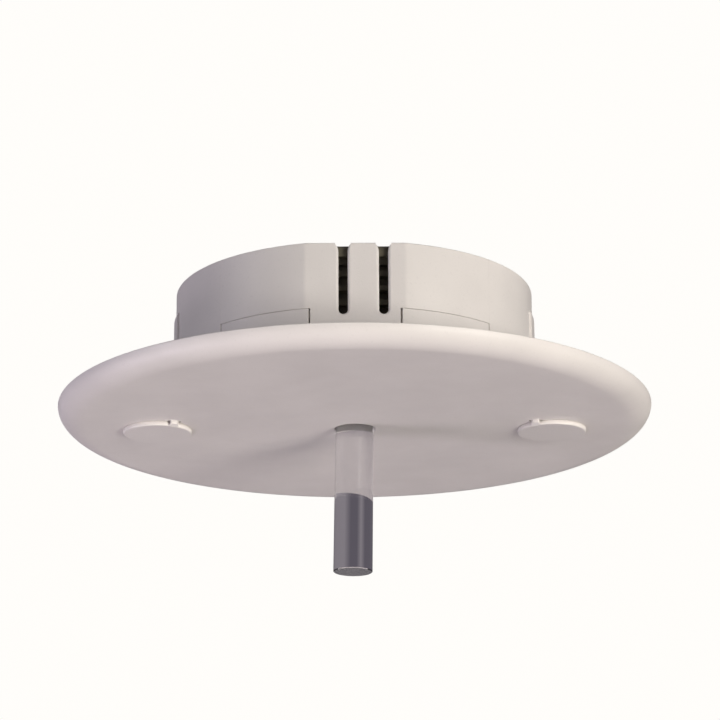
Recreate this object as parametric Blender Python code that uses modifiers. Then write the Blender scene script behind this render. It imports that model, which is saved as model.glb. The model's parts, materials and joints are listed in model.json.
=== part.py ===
"""Flush ceiling heat detector with a clear light guide, for Blender 4.5, in metres.

Frame: +Z points up into the ceiling, -Y is the front, and the origin is the point where the detector's axis
meets the ceiling plane. The trim disc hangs below that plane and the housing stands in the ceiling above it.

Azimuths are degrees about +Z measured from the front, -Y, towards +X.
"""

import math

import bmesh
import bpy
from mathutils import Matrix, Vector

MM = 0.001
GAP = 0.3 * MM  # between pieces that rest on or fit into each other

# Trim disc: a shallow dish whose rim meets the ceiling.
TRIM_RADIUS = 77.5 * MM
TRIM_DEPTH = 4.8 * MM
TRIM_EDGE_RUN = 7.0 * MM
TRIM_WALL = 2.0 * MM
RIM_FLAT = 1.8 * MM
FACE_Z = -TRIM_DEPTH
PLATE_TOP_Z = FACE_Z + TRIM_WALL
IN_PLATE_Z = FACE_Z + TRIM_WALL / 2  # where pieces moulded onto the plate start, inside it
GUIDE_HOLE_RADIUS = 5.3 * MM
GUIDE_TUBE_RADIUS = 7.4 * MM
GUIDE_TUBE_TOP_Z = 1.0 * MM

# Housing: a cup wall with a flat front and back, open at both ends.
HOUSING_RADIUS = 47.0 * MM
HOUSING_WALL = 1.8 * MM
HOUSING_INNER = HOUSING_RADIUS - HOUSING_WALL
HOUSING_BOTTOM_Z = 0.0 * MM
HOUSING_TOP_Z = 31.2 * MM
FLAT_Y = 45.4 * MM
FLAT_WALL = 2.0 * MM
PAD_HALF_ANGLE = 14.0
PAD_PROUD = 0.55 * MM
PAD_TOP_Z = 24.0 * MM
PAD_CHAMFER = 0.5 * MM
LEDGE_TOP_Z = 26.3 * MM
LEDGE_HEIGHT = 1.3 * MM
LEDGE_INNER = 43.0 * MM

INSIDE_FLAT_Y = 41.5 * MM  # flats of the chassis, behind the slots

# Slots in the flat walls, open at the top.
SLOT_XS = (-3.05 * MM, 7.1 * MM)
SLOT_WIDTH = 2.3 * MM
SLOT_BOTTOM_Z = 12.55 * MM
SLOT_FLARE = (0.8 * MM, 1.8 * MM)  # each side of the mouth: how much wider, and how tall the curve is
SLOT_MOUTH = 0.5 * MM

# Snap tabs that rise from the trim disc into notches in the housing.
TAB_FROM, TAB_TO = 14.4, 46.05
NOTCH_FROM, NOTCH_TO = 13.9, 46.4
NOTCH_TOP_Z = 13.9 * MM
TONGUE_FROM, TONGUE_TO = 17.0, 43.0
TONGUE_TOP_Z = 16.5 * MM
COLLAR_OUTER = HOUSING_INNER - GAP
COLLAR_INNER = 43.2 * MM
COLLAR_TOP_Z = 3.0 * MM

# Fixing points: a screw, its cup and a hinged cap on each side.
FIXING_X = 51.6 * MM
BOSS_RADIUS = 8.8 * MM
BOSS_TOP_Z = -0.3 * MM
POCKET_RADIUS = 7.3 * MM
POCKET_FLOOR_Z = -1.9 * MM
SEAT_RADIUS = 8.6 * MM
SEAT_Z = FACE_Z + 0.75 * MM
SCREW_HOLE_RADIUS = 2.3 * MM
CAP_RADIUS = 8.95 * MM
CAP_TOP_Z = FACE_Z - GAP
CAP_BOTTOM_Z = FACE_Z - 1.2 * MM
HINGE_REACH = 9.25 * MM
HINGE_TURN = 60.0  # from the inward direction towards the front
STRAP_WIDTH = 2.6 * MM

# Light guide: a clear rod that leans in its socket.
GUIDE_TOP_Z = 8.0 * MM
GUIDE_TIP_Z = -43.0 * MM
GUIDE_TOP_RADIUS = 4.93 * MM
GUIDE_TIP_RADIUS = 5.08 * MM
GUIDE_LEAN = 0.9
SEAL_Z = 5.0 * MM

# Inside: chassis, board and rear cover.
CHASSIS_INNER = 38.6 * MM
CHASSIS_OUTER = 40.4 * MM
RIB_RADIUS = 42.6 * MM
RIB_HEIGHT = 1.9 * MM
RIB_PITCH = 3.8 * MM
RIB_COUNT = 4
RIB_LOWEST_Z = 12.9 * MM
CHASSIS_BOTTOM_Z = 3.5 * MM
FLANGE_Z = (LEDGE_TOP_Z + GAP, 28.0 * MM)
COVER_RADIUS = 44.8 * MM
COVER_Z = (28.3 * MM, 30.3 * MM)
COVER_FLAT_Y = 43.0 * MM
UPSTAND_SIZE = (24.0 * MM, 1.8 * MM)  # the cover's upstands behind the slots, along X and Y
SHELF_Z = (10.9 * MM, 12.4 * MM)
SHELF_INNER = 31.5 * MM
POST_RING = 35.4 * MM
BOARD_POSTS = (0.0, 120.0, 240.0)
COVER_POSTS = (60.0, 180.0, 300.0)
BOARD_RADIUS = 38.0 * MM
BOARD_Z = (12.7 * MM, 14.3 * MM)

# Terminal block on the rear cover.
TERMINAL_COUNT = 4
TERMINAL_PITCH = 6.2 * MM
TERMINAL_SIZE = (26.0 * MM, 13.0 * MM, 10.0 * MM)
TERMINAL_Y = 8.0 * MM
TERMINAL_BASE_Z = COVER_Z[1] + GAP
CLAMP_Y = -15.0 * MM

WIDE_STEPS = 72  # facets round the trim disc and the housing
FINE_STEPS = 24  # facets round rods and bosses
SCREW_STEPS = 12


def clear_scene():
    for obj in list(bpy.data.objects):
        bpy.data.objects.remove(obj, do_unlink=True)


def new_collection(name):
    collection = bpy.data.collections.new(name)
    bpy.context.scene.collection.children.link(collection)
    return collection


def plastic(name, color, roughness, metallic=0.0, transmission=0.0):
    """A Principled material with one colour."""
    material = bpy.data.materials.new(name)
    material.use_nodes = True
    shader = material.node_tree.nodes["Principled BSDF"]
    shader.inputs["Base Color"].default_value = (*color, 1.0)
    shader.inputs["Roughness"].default_value = roughness
    shader.inputs["Metallic"].default_value = metallic
    shader.inputs["Transmission Weight"].default_value = transmission
    return material


clear_scene()
DETECTOR = new_collection("heat_detector")
CUTTERS = new_collection("cutters")
WHITE = plastic("white_plastic", (0.80, 0.77, 0.74), 0.45)
DARK = plastic("dark_plastic", (0.045, 0.045, 0.04), 0.55)
CLEAR = plastic("clear_acrylic", (0.95, 0.95, 0.97), 0.05, transmission=1.0)
BLACK = plastic("black_plastic", (0.02, 0.02, 0.02), 0.5)
BOARD_GREEN = plastic("board_laminate", (0.03, 0.16, 0.07), 0.5)
TERMINAL_GREEN = plastic("terminal_plastic", (0.05, 0.30, 0.14), 0.5)
STEEL = plastic("zinc_steel", (0.62, 0.62, 0.60), 0.35, metallic=1.0)
BRASS = plastic("brass", (0.72, 0.53, 0.25), 0.35, metallic=1.0)
ALUMINIUM = plastic("aluminium", (0.80, 0.80, 0.82), 0.4, metallic=1.0)
FOAM = plastic("grey_foam", (0.16, 0.16, 0.17), 0.95)
RUBBER = plastic("black_rubber", (0.02, 0.02, 0.02), 0.8)
RED = plastic("red_lens", (0.65, 0.03, 0.03), 0.3)
PAPER = plastic("label_paper", (0.78, 0.78, 0.76), 0.7)
SILICONE = plastic("grey_silicone", (0.40, 0.42, 0.46), 0.8)
EPOXY = plastic("brown_epoxy", (0.16, 0.07, 0.03), 0.4)


def link(name, mesh, material=None, cutter=False):
    """An object for a mesh. A cutter stays out of the part."""
    obj = bpy.data.objects.new(name, mesh)
    (CUTTERS if cutter else DETECTOR).objects.link(obj)
    if cutter:
        obj.hide_render = True
        obj.display_type = "WIRE"
    if material:
        mesh.materials.append(material)
    return obj


def from_bmesh(name, bm, material=None, cutter=False):
    mesh = bpy.data.meshes.new(name)
    bmesh.ops.recalc_face_normals(bm, faces=bm.faces)
    bm.to_mesh(mesh)
    bm.free()
    mesh.shade_smooth()
    mesh.set_sharp_from_angle(angle=math.radians(35))
    return link(name, mesh, material, cutter)


def turned(name, profile, steps, material=None, cutter=False):
    """A turned shape. Its (radius, z) points run down the outer side; they close up, or start and end on the axis."""
    on_axis = profile[0][0] == 0.0 and profile[-1][0] == 0.0
    count = len(profile)
    edges = [(i, (i + 1) % count) for i in range(count - 1 if on_axis else count)]
    mesh = bpy.data.meshes.new(name)
    mesh.from_pydata([(r, 0.0, z) for r, z in profile], edges, [])
    obj = link(name, mesh, material, cutter)
    screw = obj.modifiers.new("turn", "SCREW")
    screw.axis = "Z"
    screw.angle = 2 * math.pi
    screw.steps = screw.render_steps = steps
    screw.use_merge_vertices = True
    screw.merge_threshold = 0.00001
    screw.use_normal_calculate = False
    screw.use_smooth_shade = True
    return obj


def arc(center, radius, start, stop, steps):
    """Points round an arc, from start to stop degrees; radius may be a pair for an ellipse."""
    rx, ry = radius if isinstance(radius, tuple) else (radius, radius)
    angles = [math.radians(start + (stop - start) * i / steps) for i in range(steps + 1)]
    return [(center[0] + rx * math.cos(a), center[1] + ry * math.sin(a)) for a in angles]


def prism_mesh(outline, low, high):
    """A bmesh of a flat outline in XY, pulled up from low to high."""
    bm = bmesh.new()
    face = bm.faces.new([bm.verts.new((x, y, low)) for x, y in outline])
    pulled = bmesh.ops.extrude_face_region(bm, geom=[face])["geom"]
    moved = [v for v in pulled if isinstance(v, bmesh.types.BMVert)]
    bmesh.ops.translate(bm, verts=moved, vec=(0, 0, high - low))
    return bm


def prism(name, outline, low, high, material=None, cutter=False):
    return from_bmesh(name, prism_mesh(outline, low, high), material, cutter)


def sector(inner, outer, start, stop, steps=12):
    """The outline of part of a ring, between two azimuths."""
    ring = arc((0, 0), outer, start - 90, stop - 90, steps)
    return ring + arc((0, 0), inner, stop - 90, start - 90, steps)


def box(name, size, center, material=None, cutter=False, turn=0.0):
    bm = bmesh.new()
    bmesh.ops.create_cube(bm, size=1.0, matrix=Matrix.Diagonal((*size, 1.0)))
    spin = Matrix.Rotation(math.radians(turn), 4, "Z")
    bmesh.ops.transform(bm, matrix=Matrix.Translation(center) @ spin, verts=bm.verts)
    return from_bmesh(name, bm, material, cutter)


def rod_mesh(radius, low, high, center=(0.0, 0.0), steps=FINE_STEPS):
    """A bmesh cylinder standing on low."""
    bm = bmesh.new()
    place = Matrix.Translation((center[0], center[1], (low + high) / 2))
    bmesh.ops.create_cone(
        bm, cap_ends=True, segments=steps, radius1=radius, radius2=radius, depth=high - low, matrix=place
    )
    return bm


def rod(name, radius, low, high, center=(0.0, 0.0), steps=FINE_STEPS, material=None, cutter=False):
    return from_bmesh(name, rod_mesh(radius, low, high, center, steps), material, cutter)


def boolean(obj, other, operation):
    modifier = obj.modifiers.new(other.name, "BOOLEAN")
    modifier.operation = operation
    modifier.solver = "EXACT"
    modifier.object = other


def cut(obj, *cutters):
    for cutter in cutters:
        boolean(obj, cutter, "DIFFERENCE")


def join(obj, *others):
    for other in others:
        boolean(obj, other, "UNION")


def on_ring(radius, azimuth):
    angle = math.radians(azimuth)
    return radius * math.sin(angle), -radius * math.cos(angle)


def mirrored_azimuths(start, stop):
    """The four places of a feature that repeats front left, front right, back right and back left."""
    return [(start, stop), (-stop, -start), (180 - stop, 180 - start), (180 + start, 180 + stop)]


def trim_disc():
    outer = arc((TRIM_RADIUS - TRIM_EDGE_RUN, 0), (TRIM_EDGE_RUN, TRIM_DEPTH), 0, -90, 6)
    inner_run = TRIM_EDGE_RUN - RIM_FLAT
    inner = arc((TRIM_RADIUS - TRIM_EDGE_RUN, 0), (inner_run, TRIM_DEPTH - TRIM_WALL), -90, 0, 3)
    profile = outer + [(GUIDE_HOLE_RADIUS, FACE_Z), (GUIDE_HOLE_RADIUS, PLATE_TOP_Z)] + inner
    trim = turned("trim_disc", profile, WIDE_STEPS, WHITE)
    tube = rod("guide_tube", GUIDE_TUBE_RADIUS, IN_PLATE_Z, GUIDE_TUBE_TOP_Z, steps=36, cutter=True)
    join(trim, tube)
    for k, (start, stop) in enumerate(((TONGUE_FROM, 180 - TONGUE_FROM), (180 + TONGUE_FROM, 360 - TONGUE_FROM))):
        outline = sector(COLLAR_INNER, COLLAR_OUTER, start, stop, 18)
        join(trim, prism(f"collar_{k}", outline, IN_PLATE_Z, COLLAR_TOP_Z, cutter=True))
    for k, (start, stop) in enumerate(mirrored_azimuths(TAB_FROM, TAB_TO)):
        outline = sector(COLLAR_OUTER - 0.4 * MM, HOUSING_RADIUS, start, stop, 6)
        join(trim, prism(f"tab_{k}", outline, IN_PLATE_Z, NOTCH_TOP_Z - GAP, cutter=True))
    for k, (start, stop) in enumerate(mirrored_azimuths(TONGUE_FROM, TONGUE_TO)):
        outline = sector(COLLAR_INNER, COLLAR_OUTER, start, stop, 4)
        join(trim, prism(f"tongue_{k}", outline, IN_PLATE_Z, TONGUE_TOP_Z, cutter=True))
    rib_from, rib_to = COLLAR_OUTER - 0.5 * MM, 60.5 * MM
    for k, azimuth in enumerate(range(0, 360, 30)):
        if azimuth in (90, 270):
            continue
        middle = (*on_ring((rib_from + rib_to) / 2, azimuth), (IN_PLATE_Z + BOSS_TOP_Z) / 2)
        size = (1.4 * MM, rib_to - rib_from, BOSS_TOP_Z - IN_PLATE_Z)
        rib = box(f"rib_{k}", size, middle, cutter=True, turn=azimuth)
        join(trim, rib)
    for s in (-1, 1):
        join(trim, rod(f"boss_{s}", BOSS_RADIUS, IN_PLATE_Z, BOSS_TOP_Z, (s * FIXING_X, 0), 32, cutter=True))
    cut(trim, rod("guide_bore", GUIDE_HOLE_RADIUS, FACE_Z - 2 * MM, 5 * MM, steps=36, cutter=True))
    for s in (-1, 1):
        place = (s * FIXING_X, 0)
        seat = rod(f"seat_{s}", SEAT_RADIUS, FACE_Z - 2 * MM, SEAT_Z, place, 32, cutter=True)
        pocket = rod(f"pocket_{s}", POCKET_RADIUS, FACE_Z - 3 * MM, POCKET_FLOOR_Z, place, 24, cutter=True)
        hole = rod(f"screw_hole_{s}", SCREW_HOLE_RADIUS, FACE_Z - 4 * MM, 2 * MM, place, 12, cutter=True)
        u = hinge_direction(s)
        middle = Vector((s * FIXING_X, 0, 0)) + u * 8.6 * MM
        middle.z = (FACE_Z - 1 * MM + SEAT_Z) / 2
        size = (3.8 * MM, STRAP_WIDTH + 0.6 * MM, SEAT_Z - FACE_Z + 1 * MM)
        turn = math.degrees(math.atan2(u.y, u.x))
        groove = box(f"strap_groove_{s}", size, middle, cutter=True, turn=turn)
        cut(trim, seat, pocket, hole, groove)
    return trim


def hinge_direction(side):
    """From a fixing's centre towards its cap's hinge: 60 degrees from inwards, towards the front."""
    turn = math.radians(HINGE_TURN)
    return Vector((-side * math.cos(turn), -math.sin(turn), 0.0))


def cap_cup(side, name):
    """The cup under a screw cap, with the nib of its hinge strap."""
    rim_z, floor_z = FACE_Z + 0.05 * MM, POCKET_FLOOR_Z - GAP
    wall, bore = 7.0 * MM, 6.2 * MM
    profile = [
        (wall, floor_z),
        (wall, SEAT_Z - GAP),
        (8.3 * MM, SEAT_Z - GAP),
        (8.3 * MM, rim_z),
        (bore, rim_z),
        (bore, floor_z - 0.75 * MM),
        (2.2 * MM, floor_z - 0.75 * MM),
        (2.2 * MM, floor_z),
    ]
    cup = turned(name, profile, FINE_STEPS, WHITE)
    cup.location = (side * FIXING_X, 0, 0)
    u = hinge_direction(side)
    turn = math.degrees(math.atan2(u.y, u.x))
    strap_from, strap_to, nib_from = 7.8 * MM, 10.4 * MM, 9.7 * MM
    strap_height = SEAT_Z - GAP - rim_z
    place = Vector((side * FIXING_X, 0, 0))
    middle = place + u * (strap_from + strap_to) / 2
    middle.z = rim_z + strap_height / 2
    strap = box(f"{name}_strap", (strap_to - strap_from, STRAP_WIDTH, strap_height), middle, cutter=True, turn=turn)
    nib_low = FACE_Z - 0.95 * MM
    middle = place + u * (nib_from + strap_to) / 2
    middle.z = (nib_low + rim_z + strap_height / 2) / 2
    size = (strap_to - nib_from, STRAP_WIDTH, rim_z + strap_height / 2 - nib_low)
    nib = box(f"{name}_nib", size, middle, cutter=True, turn=turn)
    join(cup, strap, nib)
    return cup


def screw_cap(side, name):
    """A hinged cap. Its origin is on the hinge axis, at the cap's edge."""
    u = hinge_direction(side)
    center = Vector((side * FIXING_X, 0, 0))
    hinge = center + u * HINGE_REACH
    hinge.z = CAP_BOTTOM_Z
    rounding = 0.45 * MM
    low, high = 0.0, CAP_TOP_Z - CAP_BOTTOM_Z
    spigot_top = high + 1.5 * MM
    edge = arc((CAP_RADIUS - rounding, rounding), rounding, 0, -90, 3)
    profile = [
        (0.0, high),
        (4.9 * MM, high),
        (4.9 * MM, spigot_top),
        (5.7 * MM, spigot_top),
        (5.7 * MM, high),
        (CAP_RADIUS, high),
        *edge,
        (0.0, low),
    ]
    cap = turned(name, profile, 36, WHITE)
    offset = center - hinge
    offset.z = 0.0
    arm = bpy.data.objects.new(f"{name}_hinge", None)
    DETECTOR.objects.link(arm)
    arm.location = hinge
    cap.parent = arm
    cap.location = offset
    return cap


def ceiling_screw(side, name):
    """A pan-head screw driven up into the ceiling, with its head inside the cup."""
    tip_z, shank_top, under_head, head_end = 14.0 * MM, 11.5 * MM, -3.25 * MM, -4.4 * MM
    shank, head = 1.7 * MM, 3.4 * MM
    profile = [
        (0.0, tip_z),
        (shank, shank_top),
        (shank, under_head),
        (head, under_head),
        (head, head_end + 0.4 * MM),
        (head - 0.5 * MM, head_end),
        (0.0, head_end),
    ]
    screw = turned(name, profile, SCREW_STEPS, STEEL)
    screw.location = (side * FIXING_X, 0, 0)
    return screw


def pan_screw(name, size, low, tip_z, place):
    """A pan-head screw, head up. Its size is the shank radius, head radius and head height."""
    shank, head, height = size
    profile = [
        (0.0, low + height),
        (head * 0.7, low + height),
        (head, low + height * 0.45),
        (head, low),
        (shank, low),
        (shank, tip_z + shank),
        (0.0, tip_z),
    ]
    screw = turned(name, profile, SCREW_STEPS, STEEL)
    screw.location = (*place, 0)
    return screw


def ring_gasket():
    low, high = PLATE_TOP_Z + GAP, -0.2 * MM
    profile = [(70.0 * MM, high), (70.0 * MM, low), (63.0 * MM, low), (63.0 * MM, high)]
    return turned("ceiling_gasket", profile, 48, FOAM)


def heat_collector():
    low, high = PLATE_TOP_Z + GAP, PLATE_TOP_Z + GAP + 1.0 * MM
    outer, inner = 26.0 * MM, GUIDE_TUBE_RADIUS + 0.6 * MM
    profile = [(outer, high), (outer, low), (inner, low), (inner, high)]
    plate = turned("heat_collector_plate", profile, 36, ALUMINIUM)
    for k, azimuth in enumerate((45, 135, 225, 315)):
        x, y = on_ring(21.0 * MM, azimuth)
        cut(plate, rod(f"collector_hole_{k}", 1.6 * MM, low - 1 * MM, high + 1 * MM, (x, y), 10, cutter=True))
    return plate


def housing_shell():
    """The cup wall, with flats front and back, slots, notches for the tabs, side pads and an inner ledge."""
    low, high = HOUSING_BOTTOM_Z, HOUSING_TOP_Z
    shell = prism("housing_shell", flatted_circle(HOUSING_RADIUS, FLAT_Y), low, high, WHITE)
    for k, middle in enumerate((90, 270)):
        shell_pad = sector(45.9 * MM, HOUSING_RADIUS + PAD_PROUD, middle - PAD_HALF_ANGLE, middle + PAD_HALF_ANGLE, 8)
        bm = prism_mesh(shell_pad, low, PAD_TOP_Z)
        edges = [e for e in bm.edges if all(is_pad_rim(v) for v in e.verts)]
        bmesh.ops.bevel(bm, geom=edges, offset=PAD_CHAMFER, segments=1, affect="EDGES")
        join(shell, from_bmesh(f"side_pad_{k}", bm, cutter=True))
    core = prism("housing_core", flatted_circle(HOUSING_INNER, FLAT_Y - FLAT_WALL), -5 * MM, 40 * MM, cutter=True)
    cut(shell, core)
    ledge_outline = flatted_circle(HOUSING_INNER + 0.6 * MM, FLAT_Y - FLAT_WALL + 0.6 * MM)
    ledge = prism("ledge", ledge_outline, LEDGE_TOP_Z - LEDGE_HEIGHT, LEDGE_TOP_Z, cutter=True)
    cut(ledge, rod("ledge_bore", LEDGE_INNER, 0, 40 * MM, steps=48, cutter=True))
    join(shell, ledge)
    for k, middle in enumerate((60, 120, 240, 300)):
        outline = sector(44.3 * MM, HOUSING_INNER + 0.5 * MM, middle - 4, middle + 4, 4)
        join(shell, prism(f"snap_bead_{k}", outline, COVER_Z[1] + 0.2 * MM, HOUSING_TOP_Z - 0.1 * MM, cutter=True))
    for k, (start, stop) in enumerate(mirrored_azimuths(NOTCH_FROM, NOTCH_TO)):
        outline = sector(42.0 * MM, 50.0 * MM, start, stop, 8)
        cut(shell, prism(f"notch_{k}", outline, -2 * MM, NOTCH_TOP_Z, cutter=True))
    for face, turn in (("front", 0.0), ("back", math.pi)):
        for k, x in enumerate(SLOT_XS):
            slot = slot_cutter(f"slot_{face}_{k}", x)
            slot.rotation_euler.z = turn
            cut(shell, slot)
    return shell


def is_pad_rim(vert):
    return vert.co.z > PAD_TOP_Z - 0.01 * MM and math.hypot(vert.co.x, vert.co.y) > HOUSING_RADIUS


def flatted_circle(radius, flat):
    """A circle cut off at y = flat and y = -flat."""
    half = math.degrees(math.acos(flat / radius))
    side_steps = WIDE_STEPS // 2 - 4
    right = arc((0, 0), radius, half - 90, 90 - half, side_steps)
    left = arc((0, 0), radius, 90 + half, 270 - half, side_steps)
    return right + left


def slot_outline(x):
    """A slot with a round bottom and a wider mouth at the top, in X and Z."""
    half = SLOT_WIDTH / 2
    wide = half + SLOT_FLARE[0]
    mouth_z, top = HOUSING_TOP_Z - SLOT_MOUTH, HOUSING_TOP_Z + 5 * MM
    bottom = arc((x, SLOT_BOTTOM_Z + half), half, 180, 360, 8)
    right_lip = arc((x + wide, mouth_z - SLOT_FLARE[1]), SLOT_FLARE, 180, 90, 5)
    left_lip = arc((x - wide, mouth_z - SLOT_FLARE[1]), SLOT_FLARE, 90, 0, 5)
    return bottom + right_lip + [(x + wide, top), (x - wide, top)] + left_lip


def slot_cutter(name, x):
    """The outline stands on its edge and runs back through the front wall."""
    bm = prism_mesh(slot_outline(x), 0.0, 10 * MM)
    stand = Matrix.Translation((0, -41 * MM, 0)) @ Matrix.Rotation(math.radians(90), 4, "X")
    bmesh.ops.transform(bm, matrix=stand, verts=bm.verts)
    return from_bmesh(name, bm, cutter=True)


def chassis_profile():
    """The ribbed wall, down its outer side and up its inner side, with a shelf for the board."""
    points = [(COVER_RADIUS, FLANGE_Z[1]), (COVER_RADIUS, FLANGE_Z[0]), (CHASSIS_OUTER, FLANGE_Z[0])]
    slope = 0.35 * MM
    for k in reversed(range(RIB_COUNT)):
        z = RIB_LOWEST_Z + k * RIB_PITCH
        top, bottom = z + RIB_HEIGHT / 2, z - RIB_HEIGHT / 2
        points += [(CHASSIS_OUTER, top), (RIB_RADIUS, top - slope)]
        points += [(RIB_RADIUS, bottom + slope), (CHASSIS_OUTER, bottom)]
    points += [
        (CHASSIS_OUTER, CHASSIS_BOTTOM_Z),
        (CHASSIS_INNER, CHASSIS_BOTTOM_Z),
        (CHASSIS_INNER, SHELF_Z[0]),
        (SHELF_INNER, SHELF_Z[0]),
        (SHELF_INNER, SHELF_Z[1]),
        (CHASSIS_INNER, SHELF_Z[1]),
        (CHASSIS_INNER, FLANGE_Z[1]),
    ]
    return points


def inner_chassis():
    chassis = turned("inner_chassis", chassis_profile(), 44, DARK)
    for k, azimuth in enumerate(BOARD_POSTS):
        place = on_ring(POST_RING, azimuth)
        join(chassis, rod(f"board_boss_{k}", 3.4 * MM, 6 * MM, SHELF_Z[1], place, 12, cutter=True))
    for k, azimuth in enumerate(COVER_POSTS):
        place = on_ring(POST_RING + 0.4 * MM, azimuth)
        join(chassis, rod(f"cover_post_{k}", 3.2 * MM, 11.5 * MM, FLANGE_Z[1], place, 12, cutter=True))
    for side in (-1, 1):
        middle = (0, side * (INSIDE_FLAT_Y + 5 * MM), 20 * MM)
        cut(chassis, box(f"chassis_flat_{side}", (50 * MM, 10 * MM, 40 * MM), middle, cutter=True))
    for k, azimuth in enumerate(BOARD_POSTS):
        place = on_ring(POST_RING, azimuth)
        cut(chassis, rod(f"board_bore_{k}", 1.5 * MM, 7.5 * MM, 20 * MM, place, 10, cutter=True))
    for k, azimuth in enumerate(COVER_POSTS):
        place = on_ring(POST_RING, azimuth)
        cut(chassis, rod(f"cover_bore_{k}", 1.5 * MM, 18 * MM, 40 * MM, place, 10, cutter=True))
    return chassis


def circuit_board():
    board = rod("circuit_board", BOARD_RADIUS, *BOARD_Z, steps=48, material=BOARD_GREEN)
    for k, azimuth in enumerate(COVER_POSTS):
        place = on_ring(POST_RING + 1.0 * MM, azimuth)
        cut(board, rod(f"board_notch_{k}", 4.3 * MM, 10 * MM, 20 * MM, place, 16, cutter=True))
    for k, azimuth in enumerate(BOARD_POSTS):
        cut(board, rod(f"board_hole_{k}", 1.6 * MM, 10 * MM, 20 * MM, on_ring(POST_RING, azimuth), 10, cutter=True))
    return board


def board_screws():
    low = BOARD_Z[1] + GAP
    for k, azimuth in enumerate(BOARD_POSTS, 1):
        pan_screw(f"board_screw_{k}", (1.2 * MM, 2.7 * MM, 1.5 * MM), low, 8.2 * MM, on_ring(POST_RING, azimuth))


def rear_cover():
    """The lid, with an upstand behind the slots at the front and back."""
    cover = prism("rear_cover", flatted_circle(COVER_RADIUS, COVER_FLAT_Y), *COVER_Z, DARK)
    low, high = COVER_Z[0] + 1.0 * MM, HOUSING_TOP_Z
    for side in (-1, 1):
        middle = (0, side * (COVER_FLAT_Y - UPSTAND_SIZE[1] / 2), (low + high) / 2)
        join(cover, box(f"upstand_{side}", (*UPSTAND_SIZE, high - low), middle, cutter=True))
    for k, azimuth in enumerate(COVER_POSTS):
        cut(cover, rod(f"cover_hole_{k}", 1.6 * MM, 20 * MM, 40 * MM, on_ring(POST_RING, azimuth), 10, cutter=True))
    for k, x in enumerate(terminal_xs()):
        cut(cover, rod(f"pin_hole_{k}", 0.9 * MM, 20 * MM, 40 * MM, (x, TERMINAL_Y + 4 * MM), 8, cutter=True))
    for k, x in enumerate(clamp_screw_xs()):
        cut(cover, rod(f"clamp_hole_{k}", 1.5 * MM, 20 * MM, 40 * MM, (x, CLAMP_Y), 8, cutter=True))
    return cover


def rear_cover_screws():
    low = COVER_Z[1] + GAP
    for k, azimuth in enumerate(COVER_POSTS, 1):
        place = on_ring(POST_RING, azimuth)
        pan_screw(f"rear_cover_screw_{k}", (1.2 * MM, 2.8 * MM, 1.6 * MM), low, 19.5 * MM, place)


def terminal_xs():
    first = -(TERMINAL_COUNT - 1) / 2 * TERMINAL_PITCH
    return [first + k * TERMINAL_PITCH for k in range(TERMINAL_COUNT)]


def terminal_block():
    """The block, with a screw well and a wire entry for each pole."""
    length, depth, height = TERMINAL_SIZE
    base = TERMINAL_BASE_Z
    block = box("terminal_block", TERMINAL_SIZE, (0, TERMINAL_Y, base + height / 2), TERMINAL_GREEN)
    corner = (0, TERMINAL_Y + depth / 2, base + height)
    cut(block, box("terminal_step", (length + 2 * MM, 5 * MM, 4 * MM), corner, cutter=True))
    front, shank_y = TERMINAL_Y - depth / 2, TERMINAL_Y - 1.5 * MM
    for k, x in enumerate(terminal_xs()):
        well = rod(f"well_{k}", 2.1 * MM, base + 6.5 * MM, base + 12 * MM, (x, shank_y), 12, cutter=True)
        entry = box(f"entry_{k}", (4.4 * MM, 9.5 * MM, 4.8 * MM), (x, front + 3.7 * MM, base + 3.4 * MM), cutter=True)
        cut(block, well, entry)
        pin = rod(f"pin_way_{k}", 0.9 * MM, base - 2 * MM, base + 2.5 * MM, (x, TERMINAL_Y + 4 * MM), 8, cutter=True)
        cut(block, pin)
        shank = rod(f"shank_way_{k}", 1.2 * MM, base + 4 * MM, base + 8 * MM, (x, shank_y), 8, cutter=True)
        cut(block, shank)
    return block


def terminal_screws():
    base = TERMINAL_BASE_Z
    for k, x in enumerate(terminal_xs(), 1):
        place = (x, TERMINAL_Y - 1.5 * MM)
        pan_screw(f"terminal_screw_{k}", (0.9 * MM, 1.75 * MM, 1.8 * MM), base + 6.8 * MM, base + 5.9 * MM, place)


def terminal_clamps():
    """A brass cage for each pole, open at the wire entry."""
    front = TERMINAL_Y - TERMINAL_SIZE[1] / 2
    low, high, wall, half = TERMINAL_BASE_Z + 1.4 * MM, TERMINAL_BASE_Z + 5.4 * MM, 0.6 * MM, 1.9 * MM
    for k, x in enumerate(terminal_xs(), 1):
        size = (2 * half, 6.6 * MM, high - low)
        middle = Vector((x, front + 4.3 * MM, (low + high) / 2))
        clamp = box(f"terminal_clamp_{k}", size, middle, BRASS)
        way = (2 * half - 2 * wall, 10 * MM, high - low - 2 * wall)
        cut(clamp, box(f"clamp_way_{k}", way, middle, cutter=True))


def terminal_pins():
    """Square pins from the terminals down through the cover to the board."""
    top, bottom = TERMINAL_BASE_Z + 2.2 * MM, BOARD_Z[1] + GAP
    for k, x in enumerate(terminal_xs(), 1):
        middle = (x, TERMINAL_Y + 4 * MM, (top + bottom) / 2)
        box(f"terminal_pin_{k}", (1.0 * MM, 1.0 * MM, top - bottom), middle, BRASS)


def clamp_screw_xs():
    return (-8.2 * MM, 8.2 * MM)


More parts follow.
